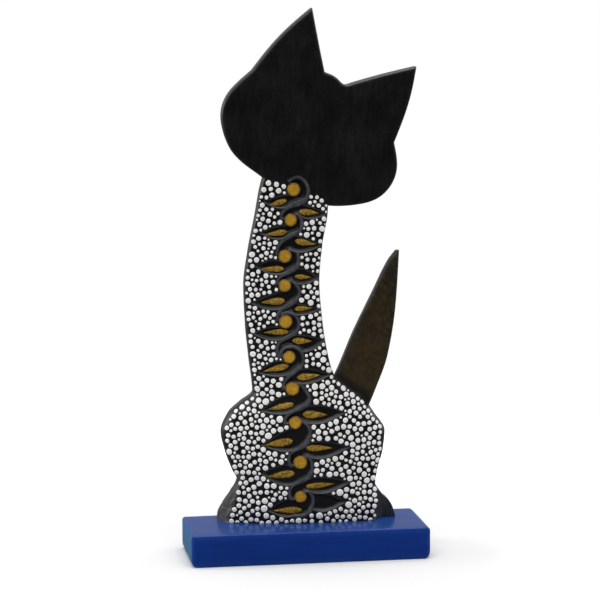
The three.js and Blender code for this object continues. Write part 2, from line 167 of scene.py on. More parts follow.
# Front of the figure
LEG_GAP_X = 1.0
LEG_GAP_TOP = 78.0
LEG_GAP_HALF_WIDTH = 3.0
LEG_GAP_DEPTH = 2.6
FACE_TILT = math.radians(-24)
EYE_LENGTH = 17.0
EYE_WIDTH = 8.0
EYE_DEPTH = 1.0
EYES = [(-15, 243), (20, 228)]
NOSE = (-3, 224)
CHEST_DISCS = [(-10, 190, 1.6), (-11.5, 178, 1.9), (-12, 165, 2.1), (-12, 151, 2.3), (-11, 136, 2.5),
               (-9, 120, 2.7), (-6, 104, 2.9)]

# Camera, as the photograph was taken
CAMERA_PLACE = (-0.2056, -1.2354, 0.3163)
CAMERA_TARGET = (-0.0031, 0.0, 0.1426)
CAMERA_LENS = 138.0


FAR = 12.0


def curve_through(at, values):
    """A smooth curve through given values: cubic between them, with the harmonic mean of the
    neighbouring slopes as its slope at each, so that it never overshoots."""
    at, values = np.array(at, float), np.array(values, float)
    width = np.diff(at)
    slope = np.diff(values) / width
    before, after = slope[:-1], slope[1:]
    same = before * after > 0
    inner = np.where(same, 2 * before * after / np.where(same, before + after, 1), 0)
    tangents = np.concatenate([slope[:1], inner, slope[-1:]])

    def value(place):
        p = np.clip(place, at[0], at[-1])
        i = np.clip(np.searchsorted(at, p) - 1, 0, len(at) - 2)
        t = (p - at[i]) / width[i]
        rise = t * t * (3 - 2 * t)
        bow = t * (1 - t) * width[i]
        return (values[i] * (1 - rise) + values[i + 1] * rise
                + bow * ((1 - t) * tangents[i] - t * tangents[i + 1]))
    return value


def edge_curve(points):
    """An edge as x over z, through the given [x, z] places."""
    return curve_through([p[1] for p in points], [p[0] for p in points])


def drawn_through(points, step):
    """A curve through points: the natural cubic spline over the length of the polyline, whose
    second slopes m follow from h0*m0 + 2*(h0 + h1)*m1 + h1*m2 = 6*(rise1 - rise0)."""
    p = np.array(points, float)
    h = np.linalg.norm(np.diff(p, axis=0), axis=1)
    at = np.concatenate([[0], np.cumsum(h)])
    n = len(p)
    matrix, right = np.eye(n), np.zeros((n, 2))
    for i in range(1, n - 1):
        matrix[i, i - 1:i + 2] = h[i - 1], 2 * (h[i - 1] + h[i]), h[i]
        right[i] = 6 * ((p[i + 1] - p[i]) / h[i] - (p[i] - p[i - 1]) / h[i - 1])
    bend = np.linalg.solve(matrix, right)
    places = np.linspace(0, at[-1], max(3, int(at[-1] / step)))
    i = np.clip(np.searchsorted(at, places, side="right") - 1, 0, n - 2)
    width, a, b = h[i, None], (at[i + 1] - places)[:, None], (places - at[i])[:, None]
    return ((bend[i] * a ** 3 + bend[i + 1] * b ** 3) / (6 * width)
            + (p[i] / width - bend[i] * width / 6) * a + (p[i + 1] / width - bend[i + 1] * width / 6) * b)


def respaced(line, step):
    """The same polyline with its points about one step apart, both ends kept."""
    lengths = np.concatenate([[0], np.cumsum(np.linalg.norm(np.diff(line, axis=0), axis=1))])
    count = max(2, int(round(lengths[-1] / step)) + 1)
    at = np.linspace(0, lengths[-1], count)
    return np.stack([np.interp(at, lengths, line[:, 0]), np.interp(at, lengths, line[:, 1])], 1)


def distance_to(points, line):
    """Distance from each point to a polyline: the least over its straight pieces, or FAR."""
    out = np.full(len(points), FAR)
    near = ((points > line.min(0) - FAR) & (points < line.max(0) + FAR)).all(1)
    if not near.all():
        out[near] = distance_to(points[near], line) if near.any() else FAR
        return out
    if len(line) > 60:
        half = len(line) // 2
        return np.minimum(distance_to(points, line[:half + 1]), distance_to(points, line[half:]))
    a, b = line[:-1], line[1:]
    ab = b - a
    length = np.maximum((ab ** 2).sum(1), 1e-12)
    for k in range(0, len(points), 8000):
        px = points[k:k + 8000, :1] - a[:, 0]
        pz = points[k:k + 8000, 1:] - a[:, 1]
        t = np.clip((px * ab[:, 0] + pz * ab[:, 1]) / length, 0, 1)
        px -= t * ab[:, 0]
        pz -= t * ab[:, 1]
        out[k:k + 8000] = np.sqrt((px * px + pz * pz).min(1))
    return out


def inside(points, loop):
    """Whether each point is inside a closed loop: an odd number of its sides lie above it."""
    near = ((points >= loop.min(0)) & (points <= loop.max(0))).all(1)
    if not near.all():
        out = np.zeros(len(points), bool)
        out[near] = inside(points[near], loop)
        return out
    a, b = loop, np.roll(loop, -1, 0)
    out = np.zeros(len(points), bool)
    for k in range(0, len(points), 3000):
        x, z = points[k:k + 3000, :1], points[k:k + 3000, 1:]
        spans = (a[:, 0] > x) != (b[:, 0] > x)
        rise = np.where(a[:, 0] == b[:, 0], 1, b[:, 0] - a[:, 0])
        over = a[:, 1] + (x - a[:, 0]) / rise * (b[:, 1] - a[:, 1]) > z
        out[k:k + 3000] = (spans & over).sum(1) % 2 == 1
    return out


def closing(loop):
    """The loop as a line that comes back to its first point."""
    return np.vstack([loop, loop[:1]])


body_left, body_right = edge_curve(BODY_LEFT), edge_curve(BODY_RIGHT)
body_half = curve_through(BODY_LEVELS, HALF_THICKNESS)
body_fall = curve_through(BODY_LEVELS, EDGE_FALL)
body_radius = curve_through(BODY_LEVELS, EDGE_RADIUS)
tail_half = curve_through(TAIL_LEVELS, TAIL_HALF_THICKNESS)

OUTLINE_STEP = 0.8


def edge_line(edge, low, high):
    z = np.linspace(low, high, 900)
    return respaced(np.stack([edge(z), z], 1), OUTLINE_STEP)


def closed_outline(left, right):
    """A loop up the left edge and down the right one, its two ends closed in steps as short."""
    top = respaced(np.array([left[-1], right[-1]]), OUTLINE_STEP)[1:-1]
    low = respaced(np.array([right[0], left[0]]), OUTLINE_STEP)[1:-1]
    return np.vstack([left, top, right[::-1], low])


body_edges = [edge_line(edge, BLOCK_HEIGHT, NECK_TOP) for edge in (body_left, body_right)]
tail_edges = [edge_line(edge_curve(edge), TAIL_FOOT, TAIL_TOP) for edge in (TAIL_LEFT, TAIL_RIGHT)]
body_loop, tail_loop = closed_outline(*body_edges), closed_outline(*tail_edges)
head_line = np.vstack([respaced(drawn_through(run, 0.3), OUTLINE_STEP)[:-1] for run in HEAD_RUNS])
head_loop = head_line
head_edge = closing(head_line)


def eased(distance, radius):
    """How far a face drops near its edge: a quarter circle of the given radius."""
    inset = np.clip(radius - distance, 0, radius)
    return radius - np.sqrt(np.maximum(radius ** 2 - inset ** 2, 0))


def heights(points, front=False):
    """Height of the face over the middle plane, the highest of body, tail and head: each is its
    half thickness, less the crown's fall towards the edges, less its rounded edge."""
    share = FRONT_FALL_SHARE if front else 1.0
    x, z = points[:, 0], points[:, 1]
    best = np.full(len(points), 0.5)
    grown = 1e-4
    left, right = body_left(z), body_right(z)
    within = (z > BLOCK_HEIGHT - grown) & (z < NECK_TOP + grown) & (x > left - grown) & (x < right + grown)
    q = points[within]
    middle, reach = (left + right) / 2, (right - left) / 2
    crown = body_fall(z) * share * np.minimum(1, np.abs(x - middle) / reach) ** CROWN_POWER
    near = np.minimum(distance_to(q, body_edges[0]), distance_to(q, body_edges[1]))
    flat = (body_half(z) - crown)[within]
    best[within] = np.maximum(best[within], flat - eased(near, body_radius(z)[within]))
    near_head = distance_to(points, head_edge)
    within = inside(points, head_loop) | (near_head < grown)
    flat = HEAD_HALF_THICKNESS - eased(near_head[within], HEAD_EDGE_RADIUS)
    best[within] = np.maximum(best[within], flat)
    near_tail = np.minimum(distance_to(points, tail_edges[0]), distance_to(points, tail_edges[1]))
    within = inside(points, tail_loop) | ((near_tail < grown) & (z > TAIL_FOOT))
    flat = tail_half(z[within]) - eased(near_tail[within], TAIL_EDGE_RADIUS)
    best[within] = np.maximum(best[within], flat)
    return best


def polar(disc, angle, distance):
    turn = math.radians(angle)
    return (disc[0] + distance * math.cos(turn), disc[1] + distance * math.sin(turn))


def leftwards(line):
    """Unit vectors to the left of a line as one walks along it."""
    along = np.gradient(line, axis=0)
    along /= np.linalg.norm(along, axis=1)[:, None]
    return np.stack([-along[:, 1], along[:, 0]], 1)


def beside(line, distance):
    """A line moved sideways, to its left as one walks along it."""
    return line + np.reshape(distance, (-1, 1)) * leftwards(line)


def nearest(line, place):
    return int(((line - np.array(place)) ** 2).sum(1).argmin())


def bowed(start, end, bow):
    """A leaf's edge from its root to its tip: a straight line bowed to its left, most nearer to
    the root, as s^lean * (1 - s)^(2.1 - lean) is, and almost straight towards the tip."""
    s = np.linspace(0, 1, 26)[:, None]
    a, b = np.array(start, float), np.array(end, float)
    along = (b - a) / np.linalg.norm(b - a)
    bulge = s ** LEAF_LEAN * (1 - s) ** (2.1 - LEAF_LEAN)
    return a + (b - a) * s + np.array([-along[1], along[0]]) * bow * bulge / bulge.max()


def winding(k):
    """The ridge's middle line round disc k and on to the next, its half widths, and where the
    right leaf leaves it."""
    upper, lower = WINDINGS[k]
    places = [polar(DISCS[k], *p) for p in upper]
    if not lower:
        line = respaced(drawn_through(places, 0.2), 0.3)
        return line, np.full(len(line), RIDGE_HALF_WIDTH), len(line) - 1
    places += [polar(DISCS[k + 1], *p) for p in lower]
    line = respaced(drawn_through(places, 0.2), 0.3)
    leave = nearest(line, polar(DISCS[k + 1], LEAVE_ANGLES[k], LEAVE_DISTANCE))
    away = np.abs(np.arange(len(line)) - leave - 8) * 0.3
    return line, RIDGE_HALF_WIDTH + RIDGE_CROSSINGS[k] * np.exp(-(away / 4.5) ** 2), leave


def left_hollow(k):
    """The sunk shape round the right and the foot of disc k that runs out in the left leaf."""
    line, half, leave = winding(k)
    disc = DISCS[k]
    tip = np.array(LEFT_TIPS[k])
    upper_bow, lower_bow = LEFT_BOWS[k]
    stop = len(line) - 1
    if WINDINGS[k][1]:
        stop = nearest(line, polar(DISCS[k + 1], *WINDINGS[k][1][0]))
    ridge_side = beside(line, -half)[:stop + 1]
    low = bowed(ridge_side[-1], tip, lower_bow)[1:]
    root = polar(disc, LEFT_ROOT_ANGLE[k], disc[2] + 0.2)
    high = bowed(root, tip, -upper_bow)[::-1][1:]
    start = math.degrees(math.atan2(line[0][1] - disc[1], line[0][0] - disc[0]))
    heart = [polar(disc, 200, 0.8 * disc[2]), polar(disc, start + 12, 0.75 * disc[2])]
    return respaced(np.vstack([ridge_side, low, high, heart, ridge_side[:1]]), 0.42)[:-1]


def right_hollow(k):
    """The sunk shape of the right leaf, whose stem passes over the next disc and round its left."""
    tip = np.array(RIGHT_TIPS[k])
    upper_bow, lower_bow = RIGHT_BOWS[k]
    line, half, leave = winding(k)
    side = beside(line, half)
    if k == len(DISCS) - 1:
        a = nearest(line, polar(DISCS[k], 5, 5.8))
        b = nearest(line, polar(DISCS[k], -50, 8.6))
        high = bowed(side[a], tip, upper_bow)
        low = bowed(side[b], tip, -lower_bow)[::-1]
        return respaced(np.vstack([side[a:b][::-1], high[1:], low[1:], side[b:b + 1]]), 0.42)[:-1]
    disc = DISCS[k + 1]
    high = bowed(side[leave], tip, upper_bow)[::-1]
    next_line, next_half, unused = winding(k + 1)
    next_side = beside(next_line, next_half)
    places = [p for p in WINDINGS[k + 1][0] if p[0] < LEAF_LEAVES_RIDGE_BELOW]
    part = nearest(next_line, polar(disc, *places[0]))
    low = bowed(next_side[part], tip, -lower_bow)
    start = math.degrees(math.atan2(next_line[0][1] - disc[1], next_line[0][0] - disc[0]))
    end = math.degrees(math.atan2(line[-1][1] - disc[1], line[-1][0] - disc[0]))
    heart = [polar(disc, end + 8, 0.8 * disc[2]), polar(disc, end - 20, 0.4 * disc[2]),
             polar(disc, start + 20, 0.8 * disc[2])]
    return respaced(np.vstack([high, side[leave + 1:], heart, next_side[:part + 1], low[1:]]), 0.42)[:-1]


hollows = [left_hollow(k) for k in range(len(DISCS))] + [right_hollow(k) for k in range(len(DISCS))]


def hollow_gap(points):
    """Distance to the nearest outline of a hollow."""
    return np.min([distance_to(points, closing(h)) for h in hollows], 0)


def in_hollows(points):
    return np.any([inside(points, h) for h in hollows], 0)


def in_figure(points):
    return np.any([inside(points, loop) for loop in (body_loop, tail_loop, head_loop)], 0)


def carving(points):
    """Depth of the carving: a wall that rounds down to the hollow's floor within the wall's width
    of its outline, as 0.8 * t^2 * (3 - 2 * t) + 0.2 * t does, with the discs left standing."""
    depth = np.zeros(len(points))
    for loop in hollows:
        low, high = loop.min(0) - 0.1, loop.max(0) + 0.1
        near = np.flatnonzero(((points > low) & (points < high)).all(1))
        if not len(near):
            continue
        q = points[near]
        d = np.where(inside(q, loop), distance_to(q, closing(loop)), 0)
        t = np.minimum(d / WALL_WIDTH, 1)
        cut = CARVING_DEPTH * (0.8 * t * t * (3 - 2 * t) + 0.2 * t)
        depth[near] = np.maximum(depth[near], cut)
    for x, z, radius in DISCS:
        r = np.hypot(points[:, 0] - x, points[:, 1] - z)
        stand = CARVING_DEPTH * np.clip((r - radius) / 0.35, 0, 1) + 0.05
        depth = np.where(r < radius + 0.35, np.minimum(np.maximum(depth, 0), stand), depth)
    return depth


def unevenness(points):
    """Hand-cut waviness of a tenth of a millimetre: a sum of slow waves in both directions."""
    x, z = points[:, 0], points[:, 1]
    return 0.05 * (np.sin(0.31 * x + 0.11 * z) + np.sin(0.17 * z - 0.23 * x + 1.3)
                   + 0.6 * np.sin(0.53 * x - 0.37 * z + 0.4))


def beyond_fold(points, fold):
    """How far a place lies outside a foot's fold line."""
    x0, z0, lean, slope = fold
    side = math.copysign(1, x0)
    tilt = math.radians(lean)
    return side * ((points[:, 0] - x0) * math.cos(tilt) - (points[:, 1] - z0) * math.sin(tilt))


def feet(points, depth_of_back):
    """The back of the feet: beyond each fold line the surface falls back in a slanted plane."""
    y = depth_of_back.copy()
    for fold in FOOT_PLANES:
        x0, z0, lean, slope = fold
        y0 = MID_PLANE - heights(np.array([[x0, z0]]))[0]
        beyond = beyond_fold(points, fold)
        plane = y0 + FOOT_STEP * np.clip(beyond / 0.8, 0, 1) + math.tan(math.radians(slope)) * beyond
        low = points[:, 1] < z0 + 12
        y = np.where(low & (beyond > 0), np.maximum(y, plane), y)
    return y


def back_surface(points, carved=True):
    """Depth y of the back at places (x, z)."""
    y = MID_PLANE - heights(points) + unevenness(points)
    if carved:
        y = y + carving(points)
    return np.minimum(feet(points, y), MID_PLANE - 0.5)


def face_axes(points, place):
    """A place's distance along and across the tilted face, from a feature's middle."""
    rel = points - np.array(place, float)
    c, s = math.cos(FACE_TILT), math.sin(FACE_TILT)
    return rel @ np.array([c, s]), rel @ np.array([-s, c])


def front_surface(points):
    """Depth y of the front: the same outline, with a groove between the forelegs that is a
    parabola across, and with eyes and nose sunk as half ellipses."""
    y = MID_PLANE + heights(points, True) - unevenness(points[:, ::-1])
    share = np.clip((LEG_GAP_TOP - points[:, 1]) / (LEG_GAP_TOP - BLOCK_HEIGHT), 0, 1) ** 0.5
    across = np.abs(points[:, 0] - LEG_GAP_X) / (LEG_GAP_HALF_WIDTH * np.maximum(share, 0.05))
    y = y - LEG_GAP_DEPTH * share * np.clip(1 - across ** 2, 0, 1)
    for eye in EYES:
        along, across = face_axes(points, eye)
        bow = np.clip(1 - (2 * along / EYE_LENGTH) ** 2, 0, 1)
        t = np.abs(across) / np.maximum(EYE_WIDTH / 2 * bow, 1e-3)
        y = y - EYE_DEPTH * bow * np.sqrt(np.clip(1 - t ** 2, 0, 1))
    along, across = face_axes(points, NOSE)
    return y - EYE_DEPTH * np.clip(1 - np.hypot(along / 3.6, across / 2.6) ** 2, 0, 1)


def in_place(x, y, z):
    """From the figure's own millimetres to the scene's metres: turned a little on the block."""
    c, s = math.cos(FIGURE_TURN), math.sin(FIGURE_TURN)
    return np.stack([c * x - s * y, s * x + c * y, z], -1) * MILLIMETRE


def mesh_piece(name, vertices, faces, smooth=True):
    """A mesh object from arrays: faces is a list of index arrays, one row a face."""
    loops = np.concatenate([f.ravel() for f in faces]).astype(np.int32)
    totals = np.concatenate([np.full(len(f), f.shape[1]) for f in faces]).astype(np.int32)
    starts = np.concatenate([[0], np.cumsum(totals)[:-1]]).astype(np.int32)
    mesh = bpy.data.meshes.new(name)
    mesh.vertices.add(len(vertices))
    mesh.vertices.foreach_set("co", np.asarray(vertices, np.float32).ravel())
    mesh.loops.add(len(loops))
    mesh.loops.foreach_set("vertex_index", loops)
    mesh.polygons.add(len(totals))
    mesh.polygons.foreach_set("loop_start", starts)
    mesh.polygons.foreach_set("loop_total", totals)
    mesh.polygons.foreach_set("use_smooth", np.full(len(totals), smooth))
    mesh.update(calc_edges=True)
    mesh.validate()
    piece = bpy.data.objects.new(name, mesh)
    bpy.context.scene.collection.objects.link(piece)
    return piece


def mark(piece, name, values):
    attribute = piece.data.attributes.new(name, "FLOAT", "POINT")
    attribute.data.foreach_set("value", np.asarray(values, np.float32))


def crease(piece, degrees):
    piece.data.set_sharp_from_angle(angle=math.radians(degrees))


def spread(step, low, high):
    """A staggered grid of places between two corners."""
    x = np.arange(low[0], high[0], step)
    z = np.arange(low[1], high[1], step * 0.866)
    gx, gz = np.meshgrid(x, z)
    gx = gx + (np.arange(len(z)) % 2)[:, None] * step / 2
    return np.stack([gx.ravel(), gz.ravel()], 1)


def inset_rings(line, radii, closed):
    """Places beside an edge, at the insets of a rounded edge's steps."""
    rings = []
    across = leftwards(line)
    for turn in (25, 48, 70, 90):
        for side in (-1, 1):
            inset = radii * (1 - math.cos(math.radians(turn)))
            place = line + side * across * inset[:, None]
            away = distance_to(place, closing(line) if closed else line)
            rings.append(place[away > 0.97 * inset])
    return np.vstack(rings)


def triangulated(loops, places):
    """Triangles over the union of the loops, with the given places and the loops as edges."""
    outline = np.vstack([points for points, closed in loops])
    edges, first = [], 0
    for points, closed in loops:
        n = len(points)
        run = np.arange(first, first + n)
        pairs = np.stack([run, np.roll(run, -1)], 1)
        edges += (pairs if closed else pairs[:-1]).tolist()
        first += n
    every = np.vstack([outline, places])
    result = delaunay_2d_cdt([Vector(p) for p in every.tolist()], edges, [], 1, 1e-4, False)
    points = np.array([[v.x, v.y] for v in result[0]])
    faces = np.array([f for f in result[2] if len(f) == 3])
    middles = points[faces].mean(1)
    faces = faces[in_figure(middles)]
    used = np.unique(faces)
    index = np.full(len(points), -1)
    index[used] = np.arange(len(used))
    return points[used], index[faces]


def boundary(faces):
    """Directed edges that only one face uses."""
    edges = np.vstack([faces[:, [0, 1]], faces[:, [1, 2]], faces[:, [2, 0]]])
    key = edges[:, 0].astype(np.int64) * 10 ** 7 + edges[:, 1]
    back = edges[:, 1].astype(np.int64) * 10 ** 7 + edges[:, 0]
    return edges[~np.isin(key, back)]


WALL_ROWS = (0.15, 0.45, 0.8, 1.15, 1.5, -0.2, -0.55, -1.0)
RIDGE_ROWS = (0, 0.25, 0.6, 1.0)


def wall_places():
    """Mesh places on the walls: rows beside every hollow's outline, beside the ridge where it
    borders the smooth back, and round every disc."""
    walls = []
    for h in hollows:
        line = closing(h)
        across = leftwards(line)[:-1]
        for inset in WALL_ROWS:
            for side in (-1, 1):
                place = h + side * across * abs(inset)
                within = inside(place, h)
                away = distance_to(place, line) > 0.97 * abs(inset)
                walls.append(place[away & (within if inset > 0 else ~within)])
    for k in range(len(DISCS)):
        line, half, leave = winding(k)
        for away in RIDGE_ROWS:
            for side in (-1, 1):
                place = beside(line, side * (half + away))
                clear = distance_to(place, line) > 0.97 * (half + away)
                walls.append(place[~in_hollows(place) & clear])
    turn = np.linspace(0, 2 * np.pi, 56, endpoint=False)
    for x, z, radius in DISCS:
        for r in (radius, radius + 0.35):
            walls.append(np.stack([x + r * np.cos(turn), z + r * np.sin(turn)], 1))
    return np.vstack(walls)


def floor_places():
    """An even field of mesh places on the floors of the hollows."""
    every = np.vstack(hollows)
    fine = spread(0.45, every.min(0), every.max(0))
    keep = np.zeros(len(fine), bool)
    for h in hollows:
        q = np.flatnonzero(inside(fine, h))
        keep[q[distance_to(fine[q], closing(h)) > WALL_WIDTH + 0.25]] = True
    return fine[keep]


def around(place, reach_x, reach_z):
    """A field of mesh places for a small feature of the face."""
    return spread(0.7, (place[0] - reach_x, place[1] - reach_z), (place[0] + reach_x, place[1] + reach_z))


def carved_cat():
    """The whole wooden cat: a fine back and a plain front over one outline, joined by the sides."""
    loops = [(body_loop, True), (tail_loop, True), (head_loop, True)]
    everywhere = spread(2.2, (-50, 18.6), (64, 302))
    everywhere = everywhere[in_figure(everywhere)]
    clear = np.min([distance_to(everywhere, e) for e in body_edges + tail_edges + [head_edge]], 0)
    everywhere = everywhere[clear > 0.9]
    rings = np.vstack(
        [inset_rings(e, body_radius(e[:, 1]), False) for e in body_edges]
        + [inset_rings(e, np.full(len(e), TAIL_EDGE_RADIUS), False) for e in tail_edges]
        + [inset_rings(head_line, np.full(len(head_line), HEAD_EDGE_RADIUS), True)])
    rings = rings[in_figure(rings)]
    smooth = everywhere[~in_hollows(everywhere)]
    back_places = np.vstack([rings, wall_places(), floor_places(), smooth])
    back_xz, back_faces = triangulated(loops + [(h, True) for h in hollows], back_places)
    face = [around(eye, 10, 8) for eye in EYES] + [around(NOSE, 5, 4)]
    gap = spread(1.0, (LEG_GAP_X - 4, BLOCK_HEIGHT + 1), (LEG_GAP_X + 4, LEG_GAP_TOP))
    front_xz, front_faces = triangulated(loops, np.vstack([rings, everywhere, gap] + face))

    def turned(xz, faces, towards_back):
        a, b, c = (xz[faces[:, i]] for i in range(3))
        area = (b[:, 0] - a[:, 0]) * (c[:, 1] - a[:, 1]) - (b[:, 1] - a[:, 1]) * (c[:, 0] - a[:, 0])
        flip = (area < 0) == towards_back
        return np.where(flip[:, None], faces[:, ::-1], faces)

    back_faces = turned(back_xz, back_faces, True)
    front_faces = turned(front_xz, front_faces, False)
    back_y = back_surface(back_xz)
    front_y = front_surface(front_xz)

    border = boundary(back_faces)
    ring = np.unique(border)
    key = {tuple(np.round(front_xz[i], 4)): i for i in np.unique(boundary(front_faces))}
    partner = np.full(len(back_xz), -1)
    for i in ring:
        partner[i] = key.get(tuple(np.round(back_xz[i], 4)), -1)
    if (partner[ring] < 0).any():
        raise RuntimeError("the front and the back of the cat have different outlines")
    rows = 6
    back_count, front_count = len(back_xz), len(front_xz)
    vertices = [np.column_stack([back_xz[:, 0], back_y, back_xz[:, 1]]),
                np.column_stack([front_xz[:, 0], front_y, front_xz[:, 1]])]
    slot = np.full(len(back_xz), -1)
    slot[ring] = np.arange(len(ring))
    start = back_y[ring]
    end = front_y[partner[ring]]
    for j in range(1, rows):
        y = start + (end - start) * j / rows
        vertices.append(np.column_stack([back_xz[ring, 0], y, back_xz[ring, 1]]))

    def row(j, i):
        if j == 0:
            return i
        if j == rows:
            return back_count + partner[i]
        return back_count + front_count + (j - 1) * len(ring) + slot[i]

    a, b = border[:, 0], border[:, 1]
    sides = [np.stack([row(j, b), row(j, a), row(j + 1, a), row(j + 1, b)], 1) for j in range(rows)]
    v = np.vstack(vertices)
    is_back = np.arange(len(v)) < back_count
    return v, [back_faces, front_faces + back_count, np.vstack(sides)], is_back


def paint_masks(points, is_back):
    """Where each paint goes, from 0 to 1: the brown of the tail, the grey of the ridges and edges,
    partly worn paint and partly painted sheen and highlight, the hollows, painted darker as shade,
    and the feet. Each is worked out from distances to the outlines that bound it."""
    xz = points[:, [0, 2]]
    z = xz[:, 1]
    tail = inside(xz, tail_loop) | (distance_to(xz, closing(tail_loop)) < 0.1)
    hip = distance_to(xz, body_edges[1])
    outside_body = xz[:, 0] > body_right(z)
    brown = np.where(tail & outside_body & (z > TAIL_FOOT), np.clip((hip - 1.5) / 5, 0, 1), 0)
    brown = np.maximum(brown, np.where(tail & (z > 100), np.clip((hip - 1.5) / 5, 0, 1), 0))
    side_distance = np.minimum(distance_to(xz, tail_edges[0]), distance_to(xz, tail_edges[1]))
    brown *= 0.35 + 0.65 * np.clip(side_distance / 1.2, 0, 1)
    d = hollow_gap(xz)
    in_hollow = in_hollows(xz)
    # The ridge's crest is greyed: partly worn paint, partly painted sheen.
    crest = np.zeros(len(xz))
    for k in range(len(DISCS)):
        line, half, leave = winding(k)
        near = np.flatnonzero(((xz > line.min(0) - 2) & (xz < line.max(0) + 2)).all(1))
        away = np.linalg.norm(xz[near, None] - line[None], axis=2) - half
        crest[near] = np.maximum(crest[near], np.clip((0.62 - away.min(1)) / 0.35, 0, 1))
    # Walls along each hollow's outline are greyed: painted sheen.
    wall = np.where(in_hollow, np.clip(1.15 - d / 0.95, 0, 1), np.clip(1 - d / 0.4, 0, 1))
    # Lower walls of the hollows face up and are painted lighter: painted highlight.
    low_rim = np.zeros(len(xz))
    for n, h in enumerate(hollows):
        near = np.flatnonzero(inside(xz, h))
        reach = LOW_RIM_ON_HIPS if n >= len(DISCS) + 6 else LOW_RIM
        steps = [~inside(xz[near] - [0, reach * part], h) for part in (0.25, 0.5, 0.75, 1)]
        low_rim[near] = np.maximum(low_rim[near], np.mean(steps, 0))
    ridge = np.max([crest, 0.5 * wall, 0.8 * low_rim], 0) * is_back
    foot = np.zeros(len(xz))
    for fold in FOOT_PLANES:
        share = np.clip(beyond_fold(xz, fold) / 1.5, 0, 1) * (z < fold[1] + 8)
        foot = np.maximum(foot, share)
    below_head = ~inside(xz, head_loop)
    edge = distance_to(xz, head_edge)
    body_gap = np.minimum(distance_to(xz, body_edges[0]), distance_to(xz, body_edges[1]))
    edge = np.minimum(edge, np.where(below_head, body_gap, FAR))
    edge = np.minimum(edge, np.where(outside_body, side_distance, FAR))
    # Nearness to the outline edges: the black paint greys it there, partly as worn paint, partly as painted
    # highlight on the rounded edges.
    rim = np.exp(-(edge / 1.0) ** 2)
    return {"brown": brown, "ridge": ridge, "hollow": in_hollow * is_back * 1.0, "foot": foot * is_back,
            "rim": rim}


cat_points, cat_faces, cat_is_back = carved_cat()
cat_wood = mesh_piece("cat_wood", in_place(*cat_points.T), cat_faces)
for mask_name, mask_values in paint_masks(cat_points, cat_is_back).items():
    mark(cat_wood, mask_name, mask_values)
crease(cat_wood, 40)
print("cat wood", len(cat_points), "points", sum(len(f) * (f.shape[1] - 2) for f in cat_faces), "triangles")


def dome_pieces(centres, normals, radii, profile, sides, wobble):
    """Many closed round forms: each is a profile of (share of radius, height) turned about its
    own normal, its radius varying a little with the angle, over a flat base."""
    n = len(centres)
    side_way = np.cross(normals, [0.0, 0.0, 1.0])
    side_way /= np.linalg.norm(side_way, axis=1)[:, None]
    up_way = np.cross(side_way, normals)
    turn = np.linspace(0, 2 * np.pi, sides, endpoint=False)
    phase = rng.uniform(0, 2 * np.pi, (n, 2))
    edge = 1 + wobble * (np.sin(2 * turn + phase[:, :1]) + 0.6 * np.sin(3 * turn + phase[:, 1:]))
    rings = len(profile) - 1
    points = np.empty((n, rings * sides + 1, 3))
    for j in range(rings):
        share, height = profile[j]
        reach = radii[:, None] * share * edge
        place = (side_way[:, None] * (reach * np.cos(turn))[..., None]
                 + up_way[:, None] * (reach * np.sin(turn))[..., None])
        lifted = centres[:, None] + place + normals[:, None] * height[:, None, None]
        points[:, j * sides:(j + 1) * sides] = lifted
    points[:, -1] = centres + normals * profile[-1][1][:, None]
    a = np.arange(sides)
    b = (a + 1) % sides
    rows = np.arange(rings - 1)[:, None] * sides
    quads = np.stack([a + rows, a + rows + sides, b + rows + sides, b + rows], -1).reshape(-1, 4)[:, ::-1]
    top = np.stack([a + (rings - 1) * sides, b + (rings - 1) * sides, np.full(sides, rings * sides)], 1)
    base = a[::-1][None]
    first = (np.arange(n) * (rings * sides + 1))[:, None, None]
    faces = [(f[None] + first).reshape(-1, f.shape[1]) for f in (quads, top, base)]
    return points.reshape(-1, 3), faces


# Paint dots: where they may lie, and how big they are on the neck and on the hips
DOT_GAPS = [0.66, 0.66, 0.76, 0.76]
DOT_STEEPEST = 0.85
# Where the dots end below the head on the back, as [x, z]
DOT_BORDER = np.array([
    [-30, 209.4], [-23, 209.4], [-19, 208.2], [-11, 206.8], [-6, 206], [0, 199.6], [2.6, 200],
    [4.7, 200.9], [9, 198.9], [12.8, 194.5], [30, 194]])
CANDIDATE_STEP = 0.42
DOT_SIZES = [(1.75, 1.98, 28), (1.4, 1.7, 130), (1.12, 1.4, 330), (0.9, 1.1, 340), (0.6, 0.8, 110)]
DOT_GROWTH_LEVELS = [20, 90, 110, 200]
DOT_GROWTH = [1.0, 1.0, 0.86, 0.8]


def hollow_floor(points):
    return smooth_back(points) + CARVING_DEPTH


def below(points, line):
    order = np.argsort(line[:, 0])
    return points[:, 1] < np.interp(points[:, 0], line[order, 0], line[order, 1])


jaw = head_line[head_line[:, 1] < NECK_TOP]


